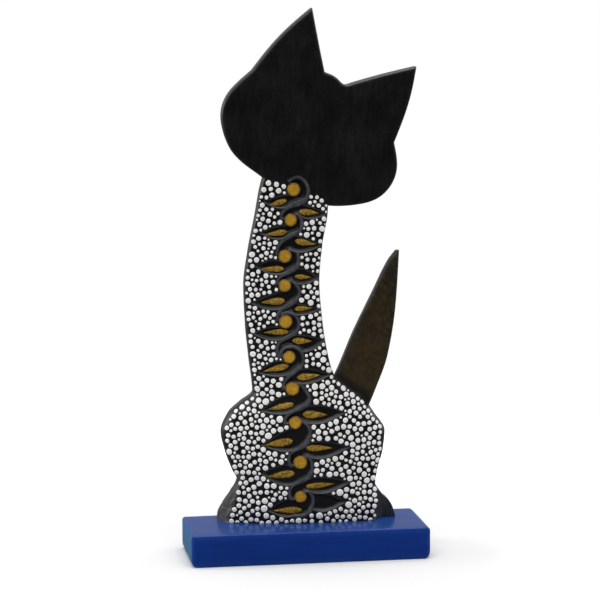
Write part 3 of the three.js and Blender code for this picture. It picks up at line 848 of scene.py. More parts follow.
def dot_places(surface, allowed, obstacles, more, seed):
    """Packs dots one by one: each takes a size and the tightest place it fits in, measured over
    the surface, so that small ones fill what the big ones leave."""
    pick = np.random.default_rng(seed)
    grid = spread(CANDIDATE_STEP, (-48, 18.2), (47, 214))
    grid = grid + pick.uniform(-0.12, 0.12, grid.shape)
    grid = grid[allowed(grid)]
    step = np.array([0.3, 0])
    steep = np.abs(surface(grid + step) - surface(grid - step)) / 0.6
    grid = grid[steep < DOT_STEEPEST]
    space = np.column_stack([grid[:, 0], surface(grid), grid[:, 1]])
    gaps = np.interp(grid[:, 1], DOT_GROWTH_LEVELS, DOT_GAPS)
    clear = obstacles(grid)
    placed = []
    for low, high, tries in DOT_SIZES:
        for i in range(int(tries * more)):
            want = pick.uniform(low, high) * np.interp(grid[:, 1], DOT_GROWTH_LEVELS, DOT_GROWTH)
            slack = clear - want
            if not (slack > 0).any():
                continue
            score = np.where(slack > 0, slack + pick.uniform(0, 0.3, len(slack)), 99)
            best = int(score.argmin())
            radius = want[best]
            placed.append((grid[best, 0], grid[best, 1], radius))
            near = np.flatnonzero((np.abs(grid - grid[best]) < 7).all(1))
            room = np.linalg.norm(space[near] - space[best], axis=1) - radius - gaps[near]
            clear[near] = np.minimum(clear[near], room)
    return np.array(placed)


def within_body(points, margin, top):
    left, right = body_left(points[:, 1]), body_right(points[:, 1])
    return (points[:, 0] > left + margin) & (points[:, 0] < right - margin) & below(points, top)


def back_allowed(points):
    ok = within_body(points, 0.5, DOT_BORDER)
    for fold in FOOT_PLANES:
        ok &= (beyond_fold(points, fold) < -0.3) | (points[:, 1] > fold[1] + 5)
    return ok


def clear_of_edges(points, top):
    clear = np.min([distance_to(points, e) for e in body_edges], 0) - 0.3
    return np.minimum(clear, distance_to(points, top))


def back_obstacles(points):
    clear = hollow_gap(points) - 0.35
    clear[in_hollows(points)] = -1
    for k, disc in enumerate(DISCS):
        clear = np.minimum(clear, np.hypot(points[:, 0] - disc[0], points[:, 1] - disc[1]) - disc[2] - 0.7)
        clear = np.minimum(clear, distance_to(points, winding(k)[0]) - 1.0)
    return np.minimum(clear, clear_of_edges(points, DOT_BORDER))


def front_allowed(points):
    gap = np.abs(points[:, 0] - LEG_GAP_X) > LEG_GAP_HALF_WIDTH + 0.4
    gap |= points[:, 1] > LEG_GAP_TOP + 2
    paw = np.minimum(np.abs(points[:, 0] + 17), np.abs(points[:, 0] - 19))
    return within_body(points, 0.8, jaw) & gap & (points[:, 1] > 33 - 0.02 * paw ** 2)


def front_obstacles(points):
    clear = clear_of_edges(points, head_edge + [0, -0.4])
    for x, z, radius in CHEST_DISCS:
        clear = np.minimum(clear, np.hypot(points[:, 0] - x, points[:, 1] - z) - radius - 1.2)
    return clear


def smooth_back(points):
    return back_surface(points, False)


def outward_frame(xz, surface, outward, step=0.15):
    """Places on a surface y over (x, z) and its outward normals, by small differences."""
    dx = (surface(xz + [step, 0]) - surface(xz - [step, 0])) / (2 * step)
    dz = (surface(xz + [0, step]) - surface(xz - [0, step])) / (2 * step)
    normals = np.column_stack([-dx, np.ones(len(xz)), -dz]) * outward
    normals /= np.linalg.norm(normals, axis=1)[:, None]
    return np.column_stack([xz[:, 0], surface(xz), xz[:, 1]]), normals


def round_forms(name, places, surface, outward, profile_of, sides, wobble):
    """A piece of many domes on a surface, with a tone for each and its rim share as attributes."""
    places = np.array(places, float)
    centres, normals = outward_frame(places[:, :2], surface, outward)
    profile = profile_of(places[:, 2])
    points, faces = dome_pieces(centres, normals, places[:, 2], profile, sides, wobble)
    piece = mesh_piece(name, in_place(*points.T), faces)
    shares = np.concatenate([np.full(sides, p[0]) for p in profile[:-1]] + [[profile[-1][0]]])
    mark(piece, "rim", np.tile(shares, len(places)))
    mark(piece, "tone", np.repeat(rng.uniform(0, 1, len(places)), len(shares)))
    return piece


def dot_profile(radii):
    height = 0.14 + 0.15 * radii
    return [(1.0, -0.25 + 0 * height), (1.0, 0.2 * height), (0.84, 0.78 * height),
            (0.5, height), (0.0, 0.8 * height)]


def disc_profile(radii):
    one = np.ones(len(radii))
    return [(0.99, -0.3 * one), (1.0, 0.02 * one), (0.95, 0.13 * one), (0.8, 0.2 * one),
            (0.5, 0.25 * one), (0.25, 0.27 * one), (0.0, 0.27 * one)]


def painted_skin(paths, surface, outward, lift, sink, power):
    """Closed skins along paths: each section is a ring across the path, as wide as the path's half
    width there, raised outwards by lift * |sin|^power and sunk by sink in the same way."""
    sides = 20
    turn = np.linspace(0, 2 * np.pi, sides, endpoint=False)
    every, quads, caps, rims, first = [], [], [], [], 0
    for line, half in paths:
        steps = len(line)
        across = leftwards(line)
        place = line[:, None] + (half[:, None] * np.cos(turn))[..., None] * across[:, None]
        y = surface(place.reshape(-1, 2)).reshape(steps, sides)
        rise = np.where(np.sin(turn) > 0, lift, -sink) * np.abs(np.sin(turn)) ** power - 0.03
        points = np.stack([place[..., 0], y + outward * rise, place[..., 1]], -1)
        k = np.arange(sides)
        n = (k + 1) % sides
        row = np.arange(steps - 1)[:, None] * sides
        ring = np.stack([k + row, n + row, n + row + sides, k + row + sides], -1).reshape(-1, 4)
        cap = np.stack([k[::-1], k + (steps - 1) * sides])
        if outward > 0:
            ring, cap = ring[:, ::-1], cap[:, ::-1]
        every.append(points.reshape(-1, 3))
        quads.append(ring + first)
        caps.append(cap + first)
        ends = np.abs(np.linspace(-1, 1, steps)) ** 3
        rims.append(np.maximum(np.abs(np.cos(turn))[None], ends[:, None]).ravel())
        first += steps * sides
    return np.vstack(every), [np.vstack(quads), np.vstack(caps)], np.concatenate(rims)


def skin_piece(name, paths, surface, outward, lift, sink, power=0.7):
    points, faces, rims = painted_skin(paths, surface, outward, lift, sink, power)
    piece = mesh_piece(name, in_place(*points.T), faces)
    mark(piece, "rim", rims)
    mark(piece, "tone", np.full(len(points), 0.5))
    return piece


def rib_path(rib):
    """A rib's middle line and half widths: widest a third of the way out, with a rough edge."""
    x0, z0, x1, z1, width = rib
    s = np.linspace(0, 1, 44)
    line = np.array([x0, z0]) + np.array([x1 - x0, z1 - z0]) * s[:, None]
    rough = 1 + 0.05 * np.sin(9 * s + rng.uniform(0, 6)) + 0.04 * np.sin(25 * s + rng.uniform(0, 6))
    return line, width / 2 * np.sin(np.pi * np.clip(s, 0.004, 0.996) ** 0.62) ** 0.85 * rough


def stroke(points, half_width):
    """A painted line through points, tapering to both ends."""
    line = respaced(drawn_through(points, 0.2), 0.5)
    s = np.linspace(0.01, 0.99, len(line))
    return line, half_width * np.sin(np.pi * s) ** 0.4


def on_face(place, along, across):
    c, s = math.cos(FACE_TILT), math.sin(FACE_TILT)
    return (place[0] + along * c - across * s, place[1] + along * s + across * c)


def lens_path(place, length, width, upright=False):
    """A lens shape on the face, its middle line along the face or, if upright, across it."""
    steps = 24 if upright else 40
    reach = np.linspace(-length / 2, length / 2, steps)
    line = np.array([on_face(place, 0, a) if upright else on_face(place, a, 0) for a in reach])
    s = np.linspace(-1, 1, steps)
    return line, np.maximum(width / 2 * (1 - s ** 2), 0.02)


back_dots = dot_places(smooth_back, back_allowed, back_obstacles, 1.0, 5)
front_dots = dot_places(front_surface, front_allowed, front_obstacles, 1.9, 8)
print("dots", len(back_dots), len(front_dots))
cat_dots = round_forms("cat_dots", back_dots, smooth_back, -1, dot_profile, 12, 0.035)
cat_front_dots = round_forms("cat_front_dots", front_dots, front_surface, 1, dot_profile, 12, 0.035)
cat_gold_discs = round_forms("cat_gold_discs", DISCS, smooth_back, -1, disc_profile, 48, 0.012)
cat_chest_discs = round_forms("cat_chest_discs", CHEST_DISCS, front_surface, 1, disc_profile, 32, 0.012)
cat_gold_ribs = skin_piece("cat_gold_ribs", [rib_path(r) for r in LEFT_RIBS + RIGHT_RIBS],
                           hollow_floor, -1, CARVING_DEPTH - RIB_TOP_DEPTH, 0.3, 0.5)
cat_eyes = skin_piece("cat_eyes", [lens_path(e, 14.5, 6.2) for e in EYES], front_surface, 1, 0.55, 0.4)
cat_pupils = skin_piece("cat_pupils", [lens_path(e, 5.4, 1.9, True) for e in EYES],
                        front_surface, 1, 0.72, 0.3)
cat_nose = skin_piece("cat_nose", [lens_path(NOSE, 6.0, 4.4)], front_surface, 1, 0.5, 0.3)
whiskers = []
for side in (-1, 1):
    for k, rise in enumerate((3.2, 0.2, -2.8)):
        root = on_face(NOSE, side * 6.5, -3.2 + 0.7 * rise)
        middle = on_face(NOSE, side * 13.5, -3.0 + 1.25 * rise)
        end = on_face(NOSE, side * 20.5, -3.6 + 1.9 * rise)
        whiskers.append(stroke([root, middle, end], 0.34))
    whiskers.append(stroke([on_face(NOSE, 0, -2.6), on_face(NOSE, side * 0.4, -5.0),
                            on_face(NOSE, side * 3.2, -6.6), on_face(NOSE, side * 6.2, -5.2)], 0.36))
cat_whiskers = skin_piece("cat_whiskers", whiskers, front_surface, 1, 0.14, 0.2)


# The block


def rounded_share(distance, radius):
    """How far an edge rounded by a quarter circle has drawn in at a distance from its end."""
    rest = np.maximum(radius - distance, 0)
    return radius - np.sqrt(radius ** 2 - rest ** 2)


def block_section(half_depth, low, top):
    """A rounded rectangle in (y, z) as rings of points: four quarter circles joined by straights."""
    corners = [(1, 1, 0), (-1, 1, 90), (-1, -1, 180), (1, -1, 270)]
    edge = BLOCK_EDGE
    rings = []
    for n, (sy, sz, start) in enumerate(corners):
        turn = np.radians(start + np.linspace(0, 90, 6))
        cy = sy * (half_depth[:, None] - edge)
        cz = np.where(sz > 0, top - edge, low + edge)[:, None]
        rings.append(np.stack([cy + edge * np.cos(turn), cz + edge * np.sin(turn)], -1))
        sy2, sz2, unused = corners[(n + 1) % 4]
        a = rings[-1][:, -1]
        after = np.radians(start + 90)
        b = np.stack([sy2 * (half_depth - edge) + edge * math.cos(after),
                      np.where(sz2 > 0, top - edge, low + edge) + edge * math.sin(after)], -1)
        count = 14 if n % 2 == 0 else 6
        t = np.linspace(0, 1, count + 1)[1:-1]
        rings.append(a[:, None] + (b - a)[:, None] * t[:, None])
    return np.concatenate(rings, 1)


def painted_block():
    """The block: its section carried along X, drawn in at both ends by quarter circles in height
    and in depth, and closed with flat ends. A slow wave of a tenth of a millimetre lies over it."""
    half = BLOCK_WIDTH / 2
    reach = max(BLOCK_END_LOW)
    turn = np.radians(np.linspace(0, 90, 12))
    near_end = reach * (1 - np.cos(turn))
    middle = np.linspace(-half + reach, half - reach, 28)[1:-1]
    x = np.concatenate([-half + near_end, middle, (half - near_end)[::-1]])
    distance = half - np.abs(x)
    half_depth = BLOCK_DEPTH / 2 - rounded_share(distance, np.where(x < 0, *BLOCK_END_PLAN))
    top = BLOCK_HEIGHT - rounded_share(distance, np.where(x < 0, *BLOCK_END_TOP))
    low = rounded_share(distance, np.where(x < 0, *BLOCK_END_LOW))
    section = block_section(half_depth, low, top)
    count = section.shape[1]
    wave = 0.06 * (np.sin(0.11 * x[:, None] + 0.3 * section[..., 0]) - 1)
    y = section[..., 0] * (1 + wave / 60)
    z = np.where(section[..., 1] > 9, section[..., 1] + wave * 0.5, section[..., 1])
    rings = np.stack([np.broadcast_to(x[:, None], y.shape), y, z], -1)
    ends = []
    for end in (0, -1):
        centre = rings[end].mean(0)
        ends.append([centre + (rings[end] - centre) * share for share in (0.7, 0.35)] + [centre[None]])
    points = np.vstack([rings.reshape(-1, 3)] + [part for end in ends for part in end])
    k = np.arange(count)
    n = (k + 1) % count

    def strip(first, second):
        return np.stack([first + k, second + k, second + n, first + n], 1)
    quads = [strip(i * count, (i + 1) * count)[:, ::-1] for i in range(len(x) - 1)]
    fans = []
    start = len(x) * count
    for end, first in ((0, 0), (1, (len(x) - 1) * count)):
        inner, core, centre = start, start + count, start + 2 * count
        rows = [strip(first, inner), strip(inner, core)]
        fan = np.stack([core + k, np.full(count, centre), core + n], 1)
        quads += rows if end == 0 else [r[:, ::-1] for r in rows]
        fans.append(fan if end == 0 else fan[:, ::-1])
        start += 2 * count + 1
    piece = mesh_piece("blue_plinth", points * MILLIMETRE, [np.vstack(quads), np.vstack(fans)])
    top_gap = BLOCK_HEIGHT - points[:, 2]
    side_gap = BLOCK_DEPTH / 2 - np.abs(points[:, 1])
    end_gap = half - np.abs(points[:, 0])
    gaps = np.sort(np.stack([np.minimum(top_gap, points[:, 2]), side_gap, end_gap], 1), 1)
    mark(piece, "rim", np.exp(-(gaps[:, 1] / 1.3) ** 2))
    mark(piece, "top", np.clip(1 - top_gap / 0.7, 0, 1))
    return piece


blue_plinth = painted_block()

# Finishes


def shader_group(name, inputs, outputs):
    """An empty shader node group with named inputs and outputs, and its first and last node."""
    group = bpy.data.node_groups.new(name, "ShaderNodeTree")
    for socket, kind, value in inputs:
        made = group.interface.new_socket(socket, in_out="INPUT", socket_type="NodeSocket" + kind)
        if value is not None:
            made.default_value = value
    for socket, kind in outputs:
        group.interface.new_socket(socket, in_out="OUTPUT", socket_type="NodeSocket" + kind)
    return group, group.nodes.new("NodeGroupInput"), group.nodes.new("NodeGroupOutput")


class Desk:
    """A short way to place and join shader nodes."""

    def __init__(self, tree):
        self.nodes, self.links = tree.nodes, tree.links

    def put(self, socket, value):
        if isinstance(value, bpy.types.NodeSocket):
            self.links.new(value, socket)
        elif value is not None:
            socket.default_value = value

    def math(self, operation, a, b=None, clamp=False):
        node = self.nodes.new("ShaderNodeMath")
        node.operation = operation
        node.use_clamp = clamp
        self.put(node.inputs[0], a)
        if b is not None:
            self.put(node.inputs[1], b)
        return node.outputs[0]

    def noise(self, vector, scale, detail=4.0, roughness=0.55):
        node = self.nodes.new("ShaderNodeTexNoise")
        self.put(node.inputs["Vector"], vector)
        self.put(node.inputs["Scale"], scale)
        node.inputs["Detail"].default_value = detail
        node.inputs["Roughness"].default_value = roughness
        return node.outputs["Fac"]

    def scaled(self, vector, x, y, z):
        joined = self.nodes.new("ShaderNodeCombineXYZ")
        for socket, value in zip(joined.inputs, (x, y, z)):
            self.put(socket, value)
        product = self.nodes.new("ShaderNodeVectorMath")
        product.operation = "MULTIPLY"
        self.put(product.inputs[0], vector)
        self.links.new(joined.outputs[0], product.inputs[1])
        return product.outputs[0]

    def between(self, value, low, high, to_low=0.0, to_high=1.0):
        node = self.nodes.new("ShaderNodeMapRange")
        self.put(node.inputs["Value"], value)
        self.put(node.inputs["From Min"], low)
        self.put(node.inputs["From Max"], high)
        self.put(node.inputs["To Min"], to_low)
        self.put(node.inputs["To Max"], to_high)
        return node.outputs["Result"]

    def blend(self, share, first, second):
        node = self.nodes.new("ShaderNodeMix")
        node.data_type = "RGBA"
        self.put(node.inputs["Factor"], share)
        for socket, value in ((node.inputs["A"], first), (node.inputs["B"], second)):
            self.put(socket, value if isinstance(value, bpy.types.NodeSocket) else (*value, 1))
        return node.outputs["Result"]

    def attribute(self, name):
        node = self.nodes.new("ShaderNodeAttribute")
        node.attribute_name = name
        return node.outputs["Fac"]

    def place(self):
        return self.nodes.new("ShaderNodeTexCoord").outputs["Object"]

    def axes(self, vector):
        node = self.nodes.new("ShaderNodeSeparateXYZ")
        self.put(node.inputs[0], vector)
        return node.outputs

    def use(self, group, **values):
        node = self.nodes.new("ShaderNodeGroup")
        node.node_tree = group
        for name, value in values.items():
            self.put(node.inputs[name.replace("_", " ")], value)
        return node.outputs


def brush_group():
    """Brush strokes: noise drawn out along one way, coarse and fine."""
    group, first, last = shader_group(
        "brush_strokes",
        [("Place", "Vector", None), ("Scale X", "Float", 300.0), ("Scale Y", "Float", 300.0),
         ("Scale Z", "Float", 60.0)],
        [("Coarse", "Float"), ("Fine", "Float")])
    desk = Desk(group)
    drawn = desk.scaled(first.outputs["Place"], first.outputs["Scale X"], first.outputs["Scale Y"],
                        first.outputs["Scale Z"])
    desk.put(last.inputs["Coarse"], desk.between(desk.noise(drawn, 1.0, 3.0), 0.3, 0.7))
    desk.put(last.inputs["Fine"], desk.between(desk.noise(drawn, 3.7, 5.0, 0.65), 0.3, 0.7))
    return group


def mottle_group():
    """Cloudy patches of a given size, with soft or hard borders."""
    group, first, last = shader_group(
        "mottling", [("Place", "Vector", None), ("Size", "Float", 200.0), ("Low", "Float", 0.4),
                     ("High", "Float", 0.6)],
        [("Mask", "Float")])
    desk = Desk(group)
    cloud = desk.noise(first.outputs["Place"], first.outputs["Size"], 6.0, 0.6)
    desk.put(last.inputs["Mask"], desk.between(cloud, first.outputs["Low"], first.outputs["High"]))
    return group


def wear_and_painted_light_group():
    """Worn paint, painted sheen and painted shade along edges, ridges and rims: an edge or ridge mask
    broken up by patches and fine scratches.
    """
    group, first, last = shader_group(
        "rubbing_and_painted_light", [("Place", "Vector", None), ("Edge", "Float", 0.0), ("Amount", "Float", 0.5),
                    ("Size", "Float", 400.0)],
        [("Mask", "Float")])
    desk = Desk(group)
    patches = desk.noise(first.outputs["Place"], first.outputs["Size"], 5.0, 0.65)
    broken = desk.between(patches, 0.32, 0.62, 0.35, 1.0)
    broken_up_mask = desk.math("MULTIPLY", first.outputs["Edge"], broken)
    desk.put(last.inputs["Mask"], desk.math("MULTIPLY", broken_up_mask, first.outputs["Amount"], True))
    return group


brush_strokes, mottling, rubbing_and_painted_light = brush_group(), mottle_group(), wear_and_painted_light_group()


def paint(name, specular=0.5):
    """A material with its shader, its desk and the object's own coordinates."""
    material = bpy.data.materials.new(name)
    material.use_nodes = True
    desk = Desk(material.node_tree)
    desk.nodes.clear()
    out = desk.nodes.new("ShaderNodeOutputMaterial")
    surface = desk.nodes.new("ShaderNodeBsdfPrincipled")
    surface.inputs["Specular IOR Level"].default_value = specular
    desk.links.new(surface.outputs["BSDF"], out.inputs["Surface"])
    return material, desk, surface, desk.place()


def finish(desk, surface, colour, roughness, height, distance):
    desk.put(surface.inputs["Base Color"], colour)
    desk.put(surface.inputs["Roughness"], roughness)
    bump = desk.nodes.new("ShaderNodeBump")
    bump.inputs["Strength"].default_value = 1.0
    bump.inputs["Distance"].default_value = distance
    desk.put(bump.inputs["Height"], height)
    desk.links.new(bump.outputs["Normal"], surface.inputs["Normal"])


BLACK = (0.0032, 0.0030, 0.0031)
BLACK_WORN = (0.0085, 0.0080, 0.0070)
WEAR_AND_SHEEN_GREY = (0.060, 0.061, 0.073)
HOLLOW_SHADE_BLACK = (0.0028, 0.0030, 0.0034)
TAIL_OCHRE = (0.034, 0.0215, 0.0040)
TAIL_BROWN = (0.014, 0.0105, 0.006)
TAIL_RUST = (0.042, 0.017, 0.0045)
FOOT_GREY = (0.050, 0.050, 0.055)
SMEAR_BLUE = (0.006, 0.030, 0.150)
DOT_WHITES = [(0.755, 0.75, 0.735), (0.85, 0.845, 0.83)]
DOT_DIMPLE_SHADE_GREY = (0.42, 0.42, 0.42)
DOT_CREAM = (0.6, 0.58, 0.54)
GOLDS = [(0.40, 0.205, 0.011), (0.56, 0.335, 0.022)]
GOLD_SHADE = (0.30, 0.130, 0.007)
GOLD_TARNISH = (0.055, 0.045, 0.008)
GOLD_OLIVE = (0.115, 0.088, 0.020)
GOLD_RIM_SHADE = (0.040, 0.018, 0.005)
BLUES = [(0.0024, 0.0200, 0.146), (0.0040, 0.0265, 0.178)]
BLUE_PATCH = (0.0036, 0.029, 0.195)
BLUE_PAINTED_SHEEN = (0.040, 0.125, 0.245)
BLUE_EDGE = (0.02, 0.07, 0.26)
BLUE_CHIP = (0.003, 0.010, 0.05)


def crept_blue(desk, place, colour, low, top):
    """The block's blue, crept up about a millimetre over what stands on it."""
    reach = desk.between(desk.noise(place, 160.0, 3.0), low, 0.75, BLOCK_HEIGHT * MILLIMETRE, top)
    return desk.blend(desk.math("LESS_THAN", desk.axes(place)["Z"], reach), colour, SMEAR_BLUE)


def black_carving_paint():
    material, desk, surface, place = paint("black_carving_paint", 0.42)
    strokes = desk.use(brush_strokes, Place=place, Scale_X=420.0, Scale_Y=420.0, Scale_Z=90.0)
    patches = desk.use(mottling, Place=place, Size=55.0, Low=0.38, High=0.68)["Mask"]
    worn = desk.math("MULTIPLY", patches, strokes["Coarse"])
    colour = desk.blend(desk.math("MULTIPLY", worn, 0.6), BLACK, BLACK_WORN)
    # Painted shade: the hollows are painted a little darker than the rest of the black.
    colour = desk.blend(desk.math("MULTIPLY", desk.attribute("hollow"), 0.8), colour, HOLLOW_SHADE_BLACK)
    # Ridges and walls greyed: partly worn paint, partly painted sheen and highlight.
    ridge = desk.use(rubbing_and_painted_light, Place=place, Edge=desk.attribute("ridge"), Amount=1.0, Size=300.0)["Mask"]
    colour = desk.blend(ridge, colour, WEAR_AND_SHEEN_GREY)
    # Lighter grey along the outline: partly worn paint, partly painted highlight on the rounded edges.
    rim = desk.use(rubbing_and_painted_light, Place=place, Edge=desk.attribute("rim"), Amount=0.25, Size=160.0)["Mask"]
    colour = desk.blend(rim, colour, WEAR_AND_SHEEN_GREY)
    long_strokes = desk.use(brush_strokes, Place=place, Scale_X=500.0, Scale_Y=500.0, Scale_Z=45.0)
    foot = desk.math("MULTIPLY", desk.attribute("foot"), long_strokes["Fine"])
    colour = desk.blend(desk.math("MULTIPLY", foot, 0.7), colour, FOOT_GREY)
    ochre = desk.use(mottling, Place=place, Size=330.0, Low=0.44, High=0.58)["Mask"]
    rust = desk.use(mottling, Place=place, Size=75.0, Low=0.56, High=0.70)["Mask"]
    drawn = desk.scaled(place, 700.0, 700.0, 220.0)
    dark = desk.between(desk.noise(drawn, 1.0, 5.0, 0.65), 0.46, 0.62)
    tail = desk.blend(ochre, TAIL_BROWN, TAIL_OCHRE)
    tail = desk.blend(desk.math("MULTIPLY", rust, 0.5), tail, TAIL_RUST)
    tail = desk.blend(desk.math("MULTIPLY", dark, 0.6, True), tail, BLACK_WORN)
    lower = desk.between(desk.axes(place)["Z"], 0.155, 0.095, 0.0, 0.75)
    tail = desk.blend(desk.math("MULTIPLY", lower, desk.between(ochre, 0, 1, 0.5, 1.0)), tail, TAIL_OCHRE)
    colour = desk.blend(desk.attribute("brown"), colour, tail)
    colour = crept_blue(desk, place, colour, 0.4, 0.0188)
    grain = desk.math("ADD", desk.math("MULTIPLY", strokes["Fine"], 0.6), desk.math("MULTIPLY", ochre, 0.5))
    roughness = desk.between(desk.math("ADD", strokes["Coarse"], patches), 0.0, 2.0, 0.30, 0.46)
    finish(desk, surface, colour, roughness, grain, 0.00006)
    return material


def white_dot_paint():
    material, desk, surface, place = paint("white_dot_paint", 0.4)
    tone = desk.blend(desk.attribute("tone"), *DOT_WHITES)
    # A grey ring inside each dot: painted shade of the dot's shallow dimple.
    rim = desk.attribute("rim")
    ring = desk.math("MULTIPLY", desk.between(rim, 0.2, 0.45), desk.between(rim, 0.5, 0.8, 1.0, 0.0))
    colour = desk.blend(desk.math("MULTIPLY", ring, 0.45), tone, DOT_DIMPLE_SHADE_GREY)
    cloud = desk.use(mottling, Place=place, Size=900.0, Low=0.35, High=0.75)["Mask"]
    colour = desk.blend(desk.math("MULTIPLY", cloud, 0.2), colour, DOT_CREAM)
    colour = crept_blue(desk, place, colour, 0.5, 0.0190)
    finish(desk, surface, colour, desk.between(cloud, 0, 1, 0.4, 0.55), cloud, 0.00002)
    return material


def gold_paint(name, tarnish):
    """Gold paint; tarnish says how much of it is worn to a dark olive brown."""
    material, desk, surface, place = paint(name, 0.25)
    strokes = desk.use(brush_strokes, Place=place, Scale_X=260.0, Scale_Y=500.0, Scale_Z=700.0)
    cloud = desk.use(mottling, Place=place, Size=620.0, Low=0.4, High=0.62)["Mask"]
    colour = desk.blend(strokes["Coarse"], *GOLDS)
    colour = desk.blend(desk.math("MULTIPLY", cloud, 0.5), colour, GOLD_SHADE)
    specks = desk.use(mottling, Place=place, Size=950.0, Low=0.47, High=0.60)["Mask"]
    colour = desk.blend(desk.math("MULTIPLY", specks, tarnish, True), colour, GOLD_TARNISH)
    # Dark brown round the edge of each gold piece: painted shade where it meets the wood.
    rim = desk.between(desk.attribute("rim"), 0.66, 0.98, 0.0, 1.0)
    broken_up_mask = desk.use(rubbing_and_painted_light, Place=place, Edge=rim, Amount=1.0, Size=700.0)["Mask"]
    colour = desk.blend(broken_up_mask, colour, GOLD_RIM_SHADE)
    fine = desk.use(mottling, Place=place, Size=1500.0, Low=0.42, High=0.58)["Mask"]
    colour = desk.blend(desk.math("MULTIPLY", fine, 0.7 * tarnish), colour, GOLD_OLIVE)
    surface.inputs["Metallic"].default_value = 0.2
    finish(desk, surface, colour, desk.between(cloud, 0, 1, 0.42, 0.6), strokes["Fine"], 0.00005)
    return material


def blue_block_paint():
    material, desk, surface, place = paint("blue_block_paint", 0.06)
    strokes = desk.use(brush_strokes, Place=place, Scale_X=35.0, Scale_Y=380.0, Scale_Z=380.0)
    patches = desk.use(mottling, Place=place, Size=32.0, Low=0.35, High=0.7)["Mask"]
    colour = desk.blend(strokes["Coarse"], *BLUES)
    colour = desk.blend(desk.math("MULTIPLY", patches, 0.5), colour, BLUE_PATCH)
    # Lighter cyan where the block is seen at a grazing angle, more on its sides and ends than on its top:
    # painted sheen.
    facing = desk.nodes.new("ShaderNodeLayerWeight").outputs["Facing"]
    top = desk.attribute("top")
    share = desk.between(top, 0.0, 1.0, 1.55, 0.34)
    painted_sheen = desk.math("MULTIPLY", desk.math("POWER", facing, 4.0), share, True)
    desk.put(surface.inputs["Coat Weight"], desk.math("MULTIPLY", top, 0.40))
    surface.inputs["Coat Roughness"].default_value = 0.16
    colour = desk.blend(painted_sheen, colour, BLUE_PAINTED_SHEEN)
    edge = desk.use(rubbing_and_painted_light, Place=place, Edge=desk.attribute("rim"), Amount=0.55, Size=220.0)["Mask"]
    colour = desk.blend(edge, colour, BLUE_EDGE)
    chips = desk.use(mottling, Place=place, Size=260.0, Low=0.70, High=0.72)["Mask"]
    colour = desk.blend(desk.math("MULTIPLY", chips, 0.5), colour, BLUE_CHIP)
    height = desk.math("ADD", strokes["Fine"], desk.math("MULTIPLY", patches, 0.8))
    finish(desk, surface, colour, desk.between(strokes["Fine"], 0, 1, 0.36, 0.46), height, 0.00006)
    return material


black_paint, white_paint = black_carving_paint(), white_dot_paint()
gold, old_gold = gold_paint("gold_paint", 0.15), gold_paint("old_gold_paint", 0.95)
blue_paint = blue_block_paint()
finishes = [
    (cat_wood, black_paint), (cat_dots, white_paint), (cat_front_dots, white_paint),
    (cat_gold_discs, gold), (cat_chest_discs, gold), (cat_gold_ribs, old_gold), (cat_eyes, gold),
    (cat_nose, gold), (cat_pupils, black_paint), (cat_whiskers, white_paint)]
for piece, finish_paint in finishes:
    piece.data.materials.append(finish_paint)
    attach(piece, "root")
blue_plinth.data.materials.append(blue_paint)
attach(blue_plinth, "root")
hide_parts("cat")
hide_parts("plinth")

# Floor, light and camera

FLOOR_RADIUS = 0.45
# The floor is darker near the block, which deepens its shadow there: painted shade. As seen in reflections
# it is dark grey: painted shade in what the cat and block reflect.
FLOOR_NEAR_SHADE, FLOOR_FAR, FLOOR_REFLECTED_SHADE = [(tone, tone, tone) for tone in (0.62, 0.98, 0.10)]


def floor_disc():
    turn = np.linspace(0, 2 * np.pi, 128, endpoint=False)
    rim = np.stack([FLOOR_RADIUS * np.cos(turn), FLOOR_RADIUS * np.sin(turn), 0 * turn], 1)
    piece = mesh_piece("floor", rim, [np.arange(128)[None]], False)
    material, desk, surface, place = paint("floor_white", 0.0)
    mirrored = desk.nodes.new("ShaderNodeLightPath").outputs["Is Glossy Ray"]
    reach = desk.nodes.new("ShaderNodeVectorMath")
    reach.operation = "LENGTH"
    desk.put(reach.inputs[0], place)
    far = desk.math("MULTIPLY", desk.between(reach.outputs["Value"], 0.1, 0.3), 1.0, True)
    pale = desk.blend(far, FLOOR_NEAR_SHADE, FLOOR_FAR)
    desk.put(surface.inputs["Base Color"], desk.blend(mirrored, pale, FLOOR_REFLECTED_SHADE))
    surface.inputs["Roughness"].default_value = 0.8
    piece.data.materials.append(material)
    return piece


floor = floor_disc()

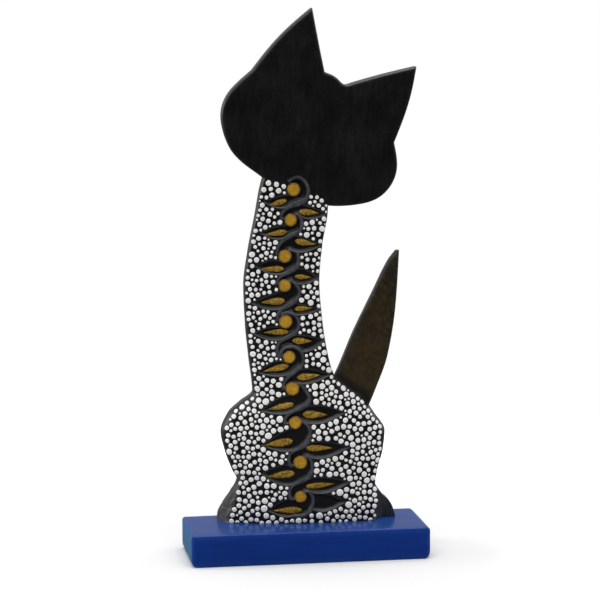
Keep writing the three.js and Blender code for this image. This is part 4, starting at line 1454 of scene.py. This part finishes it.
world = bpy.data.worlds.new("studio")
bpy.context.scene.world = world
world.use_nodes = True
desk = Desk(world.node_tree)
desk.nodes.clear()
way = desk.axes(desk.nodes.new("ShaderNodeTexCoord").outputs["Generated"])
behind = desk.between(way["Y"], -0.2, 0.9, 0.02, 0.45)
beside_it = desk.between(desk.math("ABSOLUTE", way["X"]), 0.5, 1.0, 0.0, 0.25)
above = desk.between(way["Z"], 0.45, 0.9, 0.0, 0.9)
strength = desk.math("MAXIMUM", desk.math("MAXIMUM", behind, beside_it), above)
strength = desk.math("MULTIPLY", strength, desk.between(way["Z"], -0.12, 0.02, 0.3, 1.0))
seen = desk.nodes.new("ShaderNodeMix")
seen.data_type = "FLOAT"
desk.put(seen.inputs["Factor"], desk.nodes.new("ShaderNodeLightPath").outputs["Is Camera Ray"])
desk.put(seen.inputs["A"], strength)
seen.inputs["B"].default_value = 1.0
light = desk.nodes.new("ShaderNodeBackground")
light.inputs["Color"].default_value = (1, 1, 1, 1)
desk.put(light.inputs["Strength"], seen.outputs["Result"])
desk.links.new(light.outputs[0], desk.nodes.new("ShaderNodeOutputWorld").inputs["Surface"])


LIGHT_AIM = Vector((0, 0, 0.13))
# Softboxes as (name, place, size, power)
LIGHTS = [
    ("light_left", (-0.8, -1.0, 1.15), (0.7, 0.7), 5.4),
    ("light_right", (0.8, -1.0, 1.15), (0.7, 0.7), 4.5),
    ("light_front", (0.0, -0.9, 1.5), (0.8, 0.6), 6.1),
    ("light_top", (0.0, 0.15, 1.6), (1.2, 1.0), 16),
    ("light_left_side", (-1.4, 0.25, 0.55), (0.8, 0.8), 12),
    ("light_right_side", (1.4, 0.25, 0.55), (0.8, 0.8), 6)]
for name, stand, size, power in LIGHTS:
    lamp = bpy.data.lights.new(name, "AREA")
    lamp.shape = "RECTANGLE"
    lamp.size, lamp.size_y = size
    lamp.energy = power
    softbox = bpy.data.objects.new(name, lamp)
    bpy.context.scene.collection.objects.link(softbox)
    softbox.location = stand
    softbox.rotation_euler = (LIGHT_AIM - Vector(stand)).to_track_quat("-Z", "Y").to_euler()

camera = bpy.data.objects.new("camera", bpy.data.cameras.new("camera"))
bpy.context.scene.collection.objects.link(camera)
camera.location = CAMERA_PLACE
look = Vector(CAMERA_TARGET) - Vector(CAMERA_PLACE)
camera.rotation_euler = look.to_track_quat("-Z", "Y").to_euler()
camera.data.sensor_width = 36.0
camera.data.lens = CAMERA_LENS
camera.data.clip_end = 20
bpy.context.scene.camera = camera
bpy.context.scene.view_settings.view_transform = "Standard"
